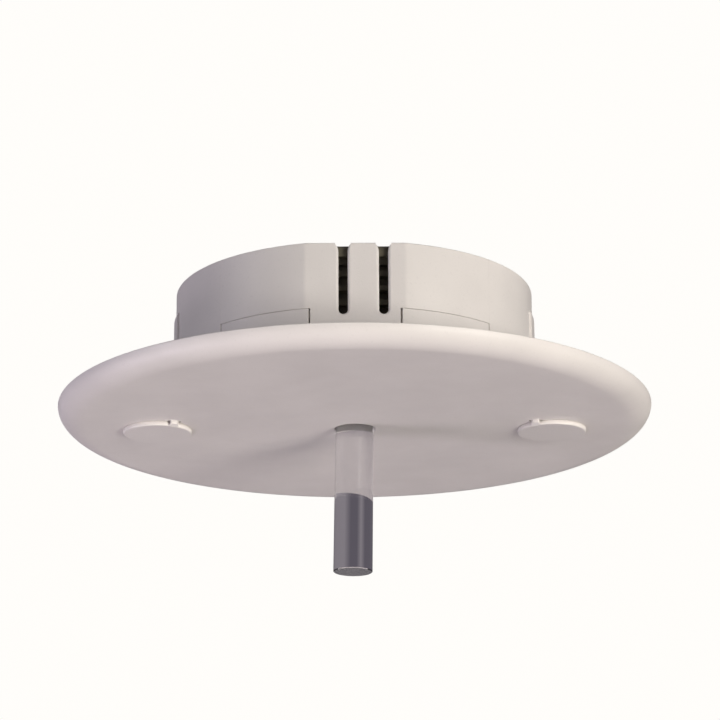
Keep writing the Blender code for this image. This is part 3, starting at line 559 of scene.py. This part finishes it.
def screw_cap(side, name, body):
    """A cap with a snap ring inside and a lug at its hinge."""
    low, high = CAP_BOTTOM_Z, FACE_Z - 0.04 * MM
    ring_top = FACE_Z + 1.2 * MM
    profile = [
        (0.0, high),
        (4.9 * MM, high),
        (4.9 * MM, ring_top - 0.15 * MM),
        (5.05 * MM, ring_top),
        (5.55 * MM, ring_top),
        (5.7 * MM, ring_top - 0.15 * MM),
        (5.7 * MM, high),
        (CAP_RADIUS - 0.1 * MM, high),
        (CAP_RADIUS, high - 0.1 * MM),
        *arc((CAP_RADIUS - 0.42 * MM, low + 0.42 * MM), 0.42 * MM, 0, -90, 7),
        (CAP_RADIUS - 0.7 * MM, low),
        (0.0, low),
    ]
    cap = lathe(f"{name}_fine", profile, 128, WHITE, (side * FIXING_X, 0))
    u = hinge_direction(side)
    middle = Vector((side * FIXING_X, 0, 0)) + u * 8.85 * MM
    middle.z = low + 0.36 * MM
    lug = box("lug", (0.7 * MM, 2.6 * MM, 0.5 * MM), middle, edge=0.08 * MM, turn=math.atan2(u.y, u.x))
    join(cap, lug)
    return settle(cap, body, name, slot="white_plastic")


def hinge_film(side, name):
    """The thin strap that folds when a cap opens, built here once in its closed shape with a slight sag."""
    u = hinge_direction(side)
    across = Vector((-u.y, u.x, 0.0))
    center = Vector((side * FIXING_X, 0, CAP_BOTTOM_Z + 0.42 * MM))
    half, thick, steps = 1.15 * MM, 0.09 * MM, 14
    start, stop = 9.85 * MM, 8.95 * MM
    layers = []
    for k in range(steps + 1):
        spot = center + u * (start + (stop - start) * k / steps)
        sag = -0.22 * MM * math.sin(math.pi * k / steps)
        corners = ((-half, thick), (half, thick), (half, -thick), (-half, -thick))
        layers.append([spot + across * a + Vector((0, 0, b + sag)) for a, b in corners])
    film = from_bmesh(name, loft_mesh(layers), WHITE)
    film.data.shade_smooth()
    film.data.set_sharp_from_angle(angle=math.radians(50))
    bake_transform(film)
    return film


def gasket():
    """The foam ring, with round corners."""
    low, high = PLATE_TOP_Z + 0.3 * MM, -0.2 * MM
    inner, outer, corner = 63.4 * MM, 69.6 * MM, 0.4 * MM
    profile = arc((outer, high - corner), corner, 90, 0, 4)
    profile += arc((outer, low + corner), corner, 0, -90, 4)
    profile += arc((inner, low + corner), corner, 270, 180, 4)
    profile += arc((inner, high - corner), corner, 180, 90, 4)
    ring = lathe("ceiling_gasket_fine", profile, 192, FOAM)
    return settle(ring, TRIM, "ceiling_gasket", slot="grey_foam")


# ---------------------------------------------------------------- screws


def cross_drive(size, depth, top, at, turn=0.6):
    """The two tapered blades of a cross recess, opening towards +Z."""
    blades = []
    for quarter in (0.0, math.pi / 2):
        layers = []
        for z, wide, thin in ((top - depth, 0.35, 0.09), (top + 0.2 * MM, 1.0, 0.2)):
            a, b = size * wide, size * thin
            outline = [Vector((x, y, 0)) for x, y in ((-a, -b), (a, -b), (a, b), (-a, b))]
            spin = Matrix.Rotation(turn + quarter, 4, "Z")
            layers.append([tuple(spin @ p + Vector((at[0], at[1], z))) for p in outline])
        blades.append(from_bmesh("blade", loft_mesh(layers)))
    return blades


def threaded_mesh(core, crest, pitch, low, high, at, steps=28):
    """A threaded shank as one closed skin, whose radius follows a helix and fades at both ends."""
    bm = bmesh.new()
    rows = int((high - low) / pitch * 8)
    rings = []
    for r in range(rows + 1):
        z = low + (high - low) * r / rows
        ends = min(1.0, (z - low) / pitch, (high - z) / (2.5 * pitch))
        ring = []
        for k in range(steps):
            phase = (z / pitch - k / steps) % 1.0
            tooth = max(0.0, 1.0 - abs(phase - 0.5) * 4.0)
            taper = 0.35 + 0.65 * min(1.0, (high - z) / (2 * pitch))
            radius = (core + (crest - core) * tooth * max(0.0, ends)) * taper
            a = TAU * k / steps
            ring.append(bm.verts.new((at[0] + radius * math.cos(a), at[1] + radius * math.sin(a), z)))
        rings.append(ring)
    for lower, upper in zip(rings, rings[1:]):
        for k in range(steps):
            n = (k + 1) % steps
            bm.faces.new((lower[k], lower[n], upper[n], upper[k]))
    bm.faces.new(rings[0])
    bm.faces.new(rings[-1])
    return bm


def ceiling_screw(side, name):
    """A pan-head wood screw, head down, with its thread up into the ceiling bracket."""
    at = (side * FIXING_X, 0)
    under, end, tip = -3.25 * MM, -4.4 * MM, 13.9 * MM
    core, crest, pitch = 1.25 * MM, 1.68 * MM, 1.3 * MM
    head = [(0.0, under), (3.3 * MM, under), (3.4 * MM, under - 0.1 * MM)]
    head += arc((2.8 * MM, end + 0.6 * MM), 0.6 * MM, 0, -90, 5) + [(0.0, end)]
    screw = lathe(f"{name}_fine", head, 48, ZINC, at)
    shank = from_bmesh("shank", threaded_mesh(core, crest, pitch, under - 0.3 * MM, tip, at))
    join(screw, shank)
    blades = cross_drive(1.9 * MM, 0.9 * MM, 0.0, (0, 0))
    for blade in blades:
        blade.data.transform(Matrix.Translation((at[0], 0, end)) @ Matrix.Rotation(math.pi, 4, "X"))
    cut(screw, *blades)
    return settle(screw, TRIM, name, slot="zinc_steel", sharp=40)


def pan_screw(name, size, low, tip, at, turn):
    """A pan-head screw, head up. Its size is the shank radius, head radius and head height."""
    shank, head, height = size
    top = low + height
    profile = [(0.0, top), (head * 0.45, top - 0.02 * MM), (head * 0.78, top - height * 0.14)]
    profile += [(head * 0.95, top - height * 0.38), (head, low + height * 0.3), (head, low + 0.05 * MM)]
    profile += [(head - 0.05 * MM, low), (shank, low), (shank, tip + shank), (0.0, tip)]
    screw = lathe(f"{name}_fine", profile, 40, ZINC, at)
    cut(screw, *cross_drive(head * 0.6, height * 0.55, top, at, turn))
    return settle(screw, HOUSING, name, slot="zinc_steel", sharp=40)


# ---------------------------------------------------------------- housing


def flatted_circle(radius, flat, steps=120):
    """A circle cut off by a flat at its front and back."""
    half = math.degrees(math.acos(flat / radius))
    right = arc((0, 0), radius, half - 90, 90 - half, steps)
    left = arc((0, 0), radius, 90 + half, 270 - half, steps)
    return right + left


def slot_layer(x, spread, y):
    """A slot's outline at one depth. Its mouth keeps the width that the rounded edge has at the face."""
    half, wide = SLOT_HALF + spread, SLOT_HALF + SLOT_ROUND + 0.05 * MM
    flare = (wide - half, SLOT_FLARE_HEIGHT)
    mouth, top = HOUSING_TOP_Z - SLOT_MOUTH, HOUSING_TOP_Z + 5 * MM
    points = arc((x, SLOT_BOTTOM_Z + SLOT_HALF), half, 180, 360, 16)
    points += arc((x + half + flare[0], mouth - flare[1]), flare, 180, 90, 8)
    points += [(x + half + flare[0], top), (x - half - flare[0], top)]
    points += arc((x - half - flare[0], mouth - flare[1]), flare, 90, 0, 8)
    return [(px, y, pz) for px, pz in points]


def slot_cutter(x, side):
    """A slot with a round outer edge, at the front, or half a turn round at the back for side -1."""
    layers = [slot_layer(x, SLOT_ROUND, -FLAT_Y - 1.5 * MM)]
    for k in range(9):
        a = math.radians(90 * k / 8)
        depth = SLOT_ROUND * (1 - math.cos(a)) - 0.01 * MM  # so that no layer lies in the wall's face
        layers.append(slot_layer(x, SLOT_ROUND * (1 - math.sin(a)), -FLAT_Y + depth))
    layers.append(slot_layer(x, 0.0, -FLAT_Y + 4 * MM))
    turned = [[(side * px, side * py, pz) for px, py, pz in layer] for layer in layers]
    return from_bmesh("slot", loft_mesh(turned))


def pad_mesh(middle):
    """A thicker panel on the wall, chamfered at its top and faded in at its sides."""
    outline = arc((0, 0), HOUSING_RADIUS + 0.55 * MM, middle - 103.6, middle - 76.4, 24)
    outline += arc((0, 0), 45.9 * MM, middle - 76, middle - 104, 12)
    small = arc((0, 0), HOUSING_RADIUS + 0.02 * MM, middle - 103.8, middle - 76.2, 24)
    small += arc((0, 0), 45.9 * MM, middle - 76, middle - 104, 12)
    layers = [[(x, y, 0.0) for x, y in outline], [(x, y, 23.3 * MM) for x, y in outline]]
    layers.append([(x, y, 24.0 * MM) for x, y in small])
    return loft_mesh(layers)


def wall_mesh():
    """The bare wall as a closed band of rings, rounded along its top edges."""
    top, wall, flat_wall = HOUSING_TOP_Z, 1.8 * MM, 2.0 * MM
    outer, inner = (0.5 * MM, 0.35 * MM), 0.2 * MM
    profile = [(0.0, 0.0), *[(outer[0] - x, z) for x, z in arc((0.0, top - outer[1]), outer, 0, 90, 8)]]
    profile += [(wall - inner + x, z) for x, z in arc((0.0, top - inner), inner, 90, 0, 3)]
    profile += [(wall, 0.0)]
    bm = bmesh.new()
    rings = []
    for inset, z in profile:
        flat = FLAT_Y - inset * (flat_wall / wall)
        rings.append([bm.verts.new((x, y, z)) for x, y in flatted_circle(HOUSING_RADIUS - inset, flat)])
    count = len(rings[0])
    for ring, following in zip(rings, rings[1:] + rings[:1]):
        for k in range(count):
            n = (k + 1) % count
            bm.faces.new((ring[k], ring[n], following[n], following[k]))
    return bm


def housing():
    """The cup's wall with its pads, thin vertical lines, ledge, notches for the tabs and four slots."""
    line_floor = HOUSING_RADIUS - 0.03 * MM
    shell = from_bmesh("housing_shell_fine", wall_mesh(), WHITE)
    join(shell, *[from_bmesh("pad", pad_mesh(middle)) for middle in (90, 270)])
    lines = []
    for start, stop in four_places(46.25, 46.5):
        mesh = ring_piece(line_floor, 49 * MM, start, stop, -1 * MM, 33 * MM, 2)
        lines.append(from_bmesh("line", mesh))
    cut(shell, *lines)
    ledge = prism("ledge", flatted_circle(45.6 * MM, FLAT_Y - 1.6 * MM), 25.0 * MM, 26.3 * MM)
    cut(ledge, rod("ledge_bore", 43.0 * MM, 20 * MM, 30 * MM, steps=128))
    join(shell, ledge)
    notches = []
    for start, stop in four_places(13.95, 46.4):
        mesh = ring_piece(42 * MM, 50 * MM, start, stop, -2 * MM, NOTCH_TOP_Z, 24)
        notches.append(from_bmesh("notch", mesh))
    cut(shell, *notches)
    for side in (1, -1):
        for x in SLOTS:
            cut(shell, slot_cutter(x, side))
    return settle(shell, HOUSING, "housing_shell", slot="white_plastic", sharp=42)


def chassis():
    """The ribbed carrier that shows through the slots."""
    outer, rib, inner = 40.4 * MM, 42.6 * MM, 38.6 * MM
    profile = [(44.7 * MM, 28.6 * MM), (44.8 * MM, 28.5 * MM)]
    profile += [(44.8 * MM, 26.7 * MM), (44.7 * MM, 26.6 * MM)]
    profile += [(outer, 26.6 * MM)]
    for k in reversed(range(4)):
        z = (12.9 + 3.8 * k) * MM
        profile += [(outer, z + 0.95 * MM), (rib - 0.15 * MM, z + 0.65 * MM), (rib, z + 0.5 * MM)]
        profile += [(rib, z - 0.5 * MM), (rib - 0.15 * MM, z - 0.65 * MM), (outer, z - 0.95 * MM)]
    profile += [(outer, 3.5 * MM), (inner, 3.5 * MM), (inner, 10.9 * MM), (31.5 * MM, 10.9 * MM)]
    profile += [(31.5 * MM, 12.4 * MM), (inner, 12.4 * MM), (inner, 28.6 * MM)]
    carrier = lathe("inner_chassis_fine", profile, 160, DARK)
    posts = []
    for azimuth in BOARD_POSTS:
        posts.append(rod("board_boss", 3.4 * MM, 6 * MM, 12.4 * MM, on_ring(POST_RING, azimuth)))
    for azimuth in COVER_POSTS:
        place = on_ring(POST_RING + 0.4 * MM, azimuth)
        posts.append(rod("cover_post", 3.2 * MM, 11.5 * MM, 28.6 * MM, place))
    join(carrier, *posts)
    cutters = []
    for side in (-1, 1):
        middle = (0, side * (INSIDE_FLAT_Y + 5 * MM), 20 * MM)
        cutters.append(box("flat", (50 * MM, 10 * MM, 60 * MM), middle))
    for azimuth in BOARD_POSTS:
        cutters.append(rod("bore", 1.5 * MM, 7.5 * MM, 20 * MM, on_ring(POST_RING, azimuth), 24))
    for azimuth in COVER_POSTS:
        cutters.append(rod("bore", 1.5 * MM, 18 * MM, 40 * MM, on_ring(POST_RING, azimuth), 24))
    cut(carrier, *cutters)
    return settle(carrier, HOUSING, "inner_chassis", slot="dark_plastic", sharp=35)


def rear_cover():
    """The lid, with its screw recess ring and an upstand with a round top edge behind the slots."""
    low, high = 28.3 * MM, 30.3 * MM
    outline = flatted_circle(44.8 * MM, COVER_FLAT_Y)
    cover = rounded_prism("rear_cover_fine", outline, low, high, 0.3 * MM, DARK, 3)
    upstands = []
    for side in (-1, 1):
        size = (24 * MM, 1.8 * MM, HOUSING_TOP_Z - low - 0.6 * MM)
        middle = (0, side * (COVER_FLAT_Y - 0.9 * MM), (HOUSING_TOP_Z + low + 0.6 * MM) / 2)
        upstands.append(bevel(box("upstand", size, middle), 0.8 * MM, 6, choose=at_housing_top))
    join(cover, *upstands)
    cutters = []
    groove = [(39.6 * MM, high + 0.5 * MM), (39.6 * MM, high - 0.35 * MM)]
    groove += [(40.4 * MM, high - 0.35 * MM), (40.4 * MM, high + 0.5 * MM)]
    cutters.append(lathe("groove", groove, 128))
    for azimuth in COVER_POSTS:
        cutters.append(rod("screw_way", 1.6 * MM, 20 * MM, 40 * MM, on_ring(POST_RING, azimuth), 24))
    for k in range(4):
        cutters.append(rod("pin_way", 0.9 * MM, 20 * MM, 40 * MM, ((k - 1.5) * POLE_PITCH, 12 * MM), 16))
    for x in (-CLAMP_SCREW_X, CLAMP_SCREW_X):
        cutters.append(rod("clamp_way", 1.5 * MM, 20 * MM, 40 * MM, (x, CLAMP_Y), 24))
    cut(cover, *cutters)
    return settle(cover, HOUSING, "rear_cover", slot="dark_plastic")


def at_housing_top(edge):
    return all(v.co.z > HOUSING_TOP_Z - 1e-6 for v in edge.verts)


def terminal_block():
    """The four-pole block, with a screw well and a wire entry for each pole."""
    low, high = (Vector(corner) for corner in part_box("terminal_block"))
    base, y = low.z, 8.0 * MM
    length, depth, height = 26.0 * MM, 13.0 * MM, high.z - low.z
    block = box("terminal_block_fine", (length, depth, height), (0, y, base + height / 2), GREEN)
    cut(block, box("step", (length + 2 * MM, 5 * MM, 4 * MM), (0, y + depth / 2, base + height)))
    bevel(block, 0.35 * MM, 3)
    cutters = []
    for k in range(4):
        x = (k - 1.5) * POLE_PITCH
        well = rod("well", 2.1 * MM, base + 6.5 * MM, base + 12 * MM, (x, y - 1.5 * MM), 32)
        cutters.append(bevel(well, 0.05 * MM, 1))
        middle = (x, y - depth / 2 + 3.7 * MM, base + 3.4 * MM)
        cutters.append(box("entry", (4.4 * MM, 9.5 * MM, 4.8 * MM), middle, edge=0.5 * MM))
        cutters.append(rod("pin_way", 0.9 * MM, base - 2 * MM, base + 2.5 * MM, (x, y + 4 * MM), 16))
        cutters.append(rod("shank_way", 1.2 * MM, base + 4 * MM, base + 8 * MM, (x, y - 1.5 * MM), 24))
    for k in range(3):
        x = (k - 1) * POLE_PITCH
        cutters.append(box("parting", (0.35 * MM, depth + 2 * MM, 0.6 * MM), (x, y, base + height)))
    cut(block, *cutters)
    return settle(block, HOUSING, "terminal_block", slot="terminal_plastic")


def cable_clamp():
    """A sheet-metal saddle over the cable, with an ear at each side."""
    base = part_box("cable_clamp")[0][2]
    bore, wall, ear, side = 3.3 * MM, 1.3 * MM, 11.2 * MM, base + 2.2 * MM
    outline = [(ear, base), (ear, base + wall), (bore + wall + 0.6 * MM, base + wall)]
    outline += [(bore + wall, base + wall + 0.6 * MM)]
    outline += arc((0, side), bore + wall, 0, 180, 32)
    outline += [(-bore - wall, base + wall + 0.6 * MM), (-bore - wall - 0.6 * MM, base + wall)]
    outline += [(-ear, base + wall), (-ear, base), (-bore, base)]
    outline += arc((0, side), bore, 180, 0, 32) + [(bore, base)]
    layers = [[(x, y, z) for x, z in outline] for y in (-18.5 * MM, -11.5 * MM)]
    clamp = from_bmesh("cable_clamp_fine", loft_mesh(layers), ZINC)
    bevel(clamp, 0.2 * MM, 2)
    ways = []
    for x in (-CLAMP_SCREW_X, CLAMP_SCREW_X):
        ways.append(rod("way", 1.5 * MM, base - 1 * MM, base + 5 * MM, (x, CLAMP_Y), 24))
    cut(clamp, *ways)
    return settle(clamp, HOUSING, "cable_clamp", slot="zinc_steel")


def rear_label():
    """A blank label with round corners."""
    low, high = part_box("rear_label")
    corner = 1.2 * MM
    spots = ((high[0] - corner, low[1] + corner, -90), (high[0] - corner, high[1] - corner, 0))
    spots += ((low[0] + corner, high[1] - corner, 90), (low[0] + corner, low[1] + corner, 180))
    outline = [point for x, y, start in spots for point in arc((x, y), corner, start, start + 90, 6)]
    label = rounded_prism("rear_label_fine", outline, low[2], high[2], 0.05 * MM, PAPER)
    return settle(label, HOUSING, "rear_label", slot="label_film")


def light_guide():
    """The tapered rod, with a sawn lower end."""
    top, tip, r_top, r_tip = 8.0 * MM, -43.0 * MM, 4.93 * MM, 5.08 * MM
    profile = [(0.0, top), (r_top - 0.2 * MM, top), (r_top, top - 0.2 * MM)]
    rows = 12
    for k in range(1, rows):
        share = k / rows
        profile.append((r_top + (r_tip - r_top) * share, top + (tip - top) * share))
    profile += [(r_tip, tip + 0.18 * MM), (r_tip - 0.18 * MM, tip), (0.0, tip)]
    guide = lathe("light_guide_fine", profile, 128, CLEAR)
    guide.data.materials.append(CLEAR_CUT)
    for face in guide.data.polygons:
        if face.center.z < tip + 0.01 * MM:
            face.material_index = 1
    guide.data.transform(Matrix.Rotation(GUIDE_LEAN, 4, "Y"))
    return settle(guide, GUIDE, "light_guide", sharp=30, slot="clear_acrylic")


# ---------------------------------------------------------------- stage


def stage():
    """A pale floor. Its glow is seen by the camera alone, so it lights nothing."""
    floor_material, n = new_material("floor")
    drift = n.between(n.noise(3.0), 0.0, 1.0)
    n.set(n.shader.inputs["Base Color"], n.mix(drift, (0.80, 0.79, 0.78, 1), (0.84, 0.83, 0.82, 1)))
    n.shader.inputs["Roughness"].default_value = 0.9
    n.shader.inputs["Emission Color"].default_value = (0.70, 0.69, 0.67, 1.0)
    n.set(n.shader.inputs["Emission Strength"], n.node("ShaderNodeLightPath").outputs["Is Camera Ray"])
    floor = box("floor", (8.0, 8.0, 0.02), (0, 0, -1.7), floor_material)


def area_light(name, azimuth, elevation, distance, size, power, color):
    """A soft light that faces the detector from an azimuth and an elevation, in degrees."""
    data = bpy.data.lights.new(name, "AREA")
    data.shape = "RECTANGLE"
    data.size, data.size_y = size
    data.energy = power
    data.color = color
    light = bpy.data.objects.new(name, data)
    bpy.context.scene.collection.objects.link(light)
    flat = distance * math.cos(math.radians(elevation))
    x, y = on_ring(flat, azimuth)
    light.location = (x, y, distance * math.sin(math.radians(elevation)))
    light.rotation_euler = (-light.location).to_track_quat("-Z", "Y").to_euler()
    return light


def streaks(tree):
    """The dim room as the rod bends it: brighter to the right, and in one narrow strip to the left."""
    dark, bright = (*THROUGH, 1.0), (0.225, 0.204, 0.225, 1.0)
    direction = tree.nodes.new("ShaderNodeTexCoord")
    axes = tree.nodes.new("ShaderNodeSeparateXYZ")
    share = tree.nodes.new("ShaderNodeMapRange")
    ramp = tree.nodes.new("ShaderNodeValToRGB")
    share.inputs["From Min"].default_value = -1.0
    tree.links.new(direction.outputs["Generated"], axes.inputs[0])
    tree.links.new(axes.outputs["X"], share.inputs["Value"])
    tree.links.new(share.outputs["Result"], ramp.inputs["Fac"])
    ramp.color_ramp.elements.remove(ramp.color_ramp.elements[1])
    strip = ((-0.42, dark), (-0.26, bright), (-0.12, dark))
    for x, color in ((-1.0, dark), *strip, (0.10, dark), (0.32, bright)):
        place = (x + 1) / 2
        element = ramp.color_ramp.elements[0] if x == -1.0 else ramp.color_ramp.elements.new(place)
        element.position, element.color = place, color
    return ramp.outputs["Color"]


def world():
    """White to the camera, dim and streaked to what shows through the rod, and a dim fill for all else."""
    w = bpy.data.worlds.new("studio")
    bpy.context.scene.world = w
    w.use_nodes = True
    tree = w.node_tree
    tree.nodes.clear()
    path = tree.nodes.new("ShaderNodeLightPath")
    out = tree.nodes.new("ShaderNodeOutputWorld")
    shades = {}
    for key, color, strength in (
        ("camera", (1.0, 0.985, 0.957), 1.0),
        ("through", THROUGH, 1.0),
        ("fill", (0.96, 0.90, 1.0), 0.13),
    ):
        node = tree.nodes.new("ShaderNodeBackground")
        node.inputs["Color"].default_value = (*color, 1.0)
        node.inputs["Strength"].default_value = strength
        shades[key] = node.outputs[0]
        if key == "through":
            tree.links.new(streaks(tree), node.inputs["Color"])
    through = tree.nodes.new("ShaderNodeMixShader")
    camera = tree.nodes.new("ShaderNodeMixShader")
    tree.links.new(path.outputs["Is Transmission Ray"], through.inputs[0])
    tree.links.new(shades["fill"], through.inputs[1])
    tree.links.new(shades["through"], through.inputs[2])
    tree.links.new(path.outputs["Is Camera Ray"], camera.inputs[0])
    tree.links.new(through.outputs[0], camera.inputs[1])
    tree.links.new(shades["camera"], camera.inputs[2])
    tree.links.new(camera.outputs[0], out.inputs[0])


def camera():
    """A long lens in front of the detector and below it, aimed a little aside of the origin."""
    distance, elevation, azimuth = 0.775, math.radians(15.97), math.radians(-0.4)
    flat = distance * math.cos(elevation)
    place = Vector((flat * math.sin(azimuth), -flat * math.cos(azimuth), -distance * math.sin(elevation)))
    data = bpy.data.cameras.new("camera")
    data.sensor_width = 36.0
    data.lens = 147.7
    data.dof.use_dof = False
    obj = bpy.data.objects.new("camera", data)
    bpy.context.scene.collection.objects.link(obj)
    back = place.normalized()
    right = Vector((0, 0, 1)).cross(back).normalized()
    up = back.cross(right)
    look = Matrix((right, up, back)).transposed().to_4x4()
    roll = Matrix.Rotation(math.radians(-0.305), 4, "Z")
    aside = Vector((-5.3, -51.8, -2953.9)).normalized()  # where the origin lies, seen from the camera
    aim = aside.rotation_difference(Vector((0, 0, -1))).to_matrix().to_4x4()
    obj.matrix_world = Matrix.Translation(place) @ look @ roll @ aim
    bpy.context.scene.camera = obj


def lights():
    area_light("key", 38, -12, 1.5, (0.7, 0.7), 19.7, (1.0, 0.97, 0.90))
    area_light("left", -75, -5, 1.5, (0.25, 0.9), 5.6, (0.88, 0.87, 1.0))
    area_light("low_left", -88, -40, 0.7, (0.3, 0.3), 1.3, (0.97, 0.86, 1.0))
    area_light("low_right", 40, -45, 1.5, (0.6, 0.6), 2.7, (1.0, 0.9, 0.84))
    area_light("behind", 180, 48, 1.5, (0.8, 0.8), 6.0, (1.0, 0.98, 0.96))


def build():
    dress_cad_nodes()
    trim_disc()
    gasket()
    for side, name in SIDES:
        cap_cup(side, f"cap_cup_{name}")
        screw_cap(side, f"screw_cap_{name}", f"cap_{name}")
        hinge_film(side, f"cap_hinge_{name}")
        ceiling_screw(side, f"ceiling_screw_{name}")
    housing()
    chassis()
    rear_cover()
    terminal_block()
    cable_clamp()
    rear_label()
    light_guide()
    cover_low = 30.6 * MM
    for k, azimuth in enumerate(COVER_POSTS, 1):
        size = (1.2 * MM, 2.8 * MM, 1.6 * MM)
        pan_screw(f"rear_cover_screw_{k}", size, cover_low, 19.5 * MM, on_ring(POST_RING, azimuth), 0.4 + k)
    for k, x in enumerate((-CLAMP_SCREW_X, CLAMP_SCREW_X), 1):
        size = (1.15 * MM, 2.3 * MM, 1.4 * MM)
        pan_screw(f"cable_clamp_screw_{k}", size, cover_low + 1.6 * MM, 26 * MM, (x, CLAMP_Y), 0.9 * k)
    for k in range(4):
        name = f"terminal_screw_{k + 1}"
        low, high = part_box(name)
        size = (0.9 * MM, 1.75 * MM, 1.8 * MM)
        place = ((k - 1.5) * POLE_PITCH, 6.5 * MM)
        pan_screw(name, size, high[2] - 1.8 * MM, low[2], place, 0.3 + 0.8 * k)
    stage()
    world()
    lights()
    camera()
    bpy.context.scene.view_settings.view_transform = "Standard"


build()
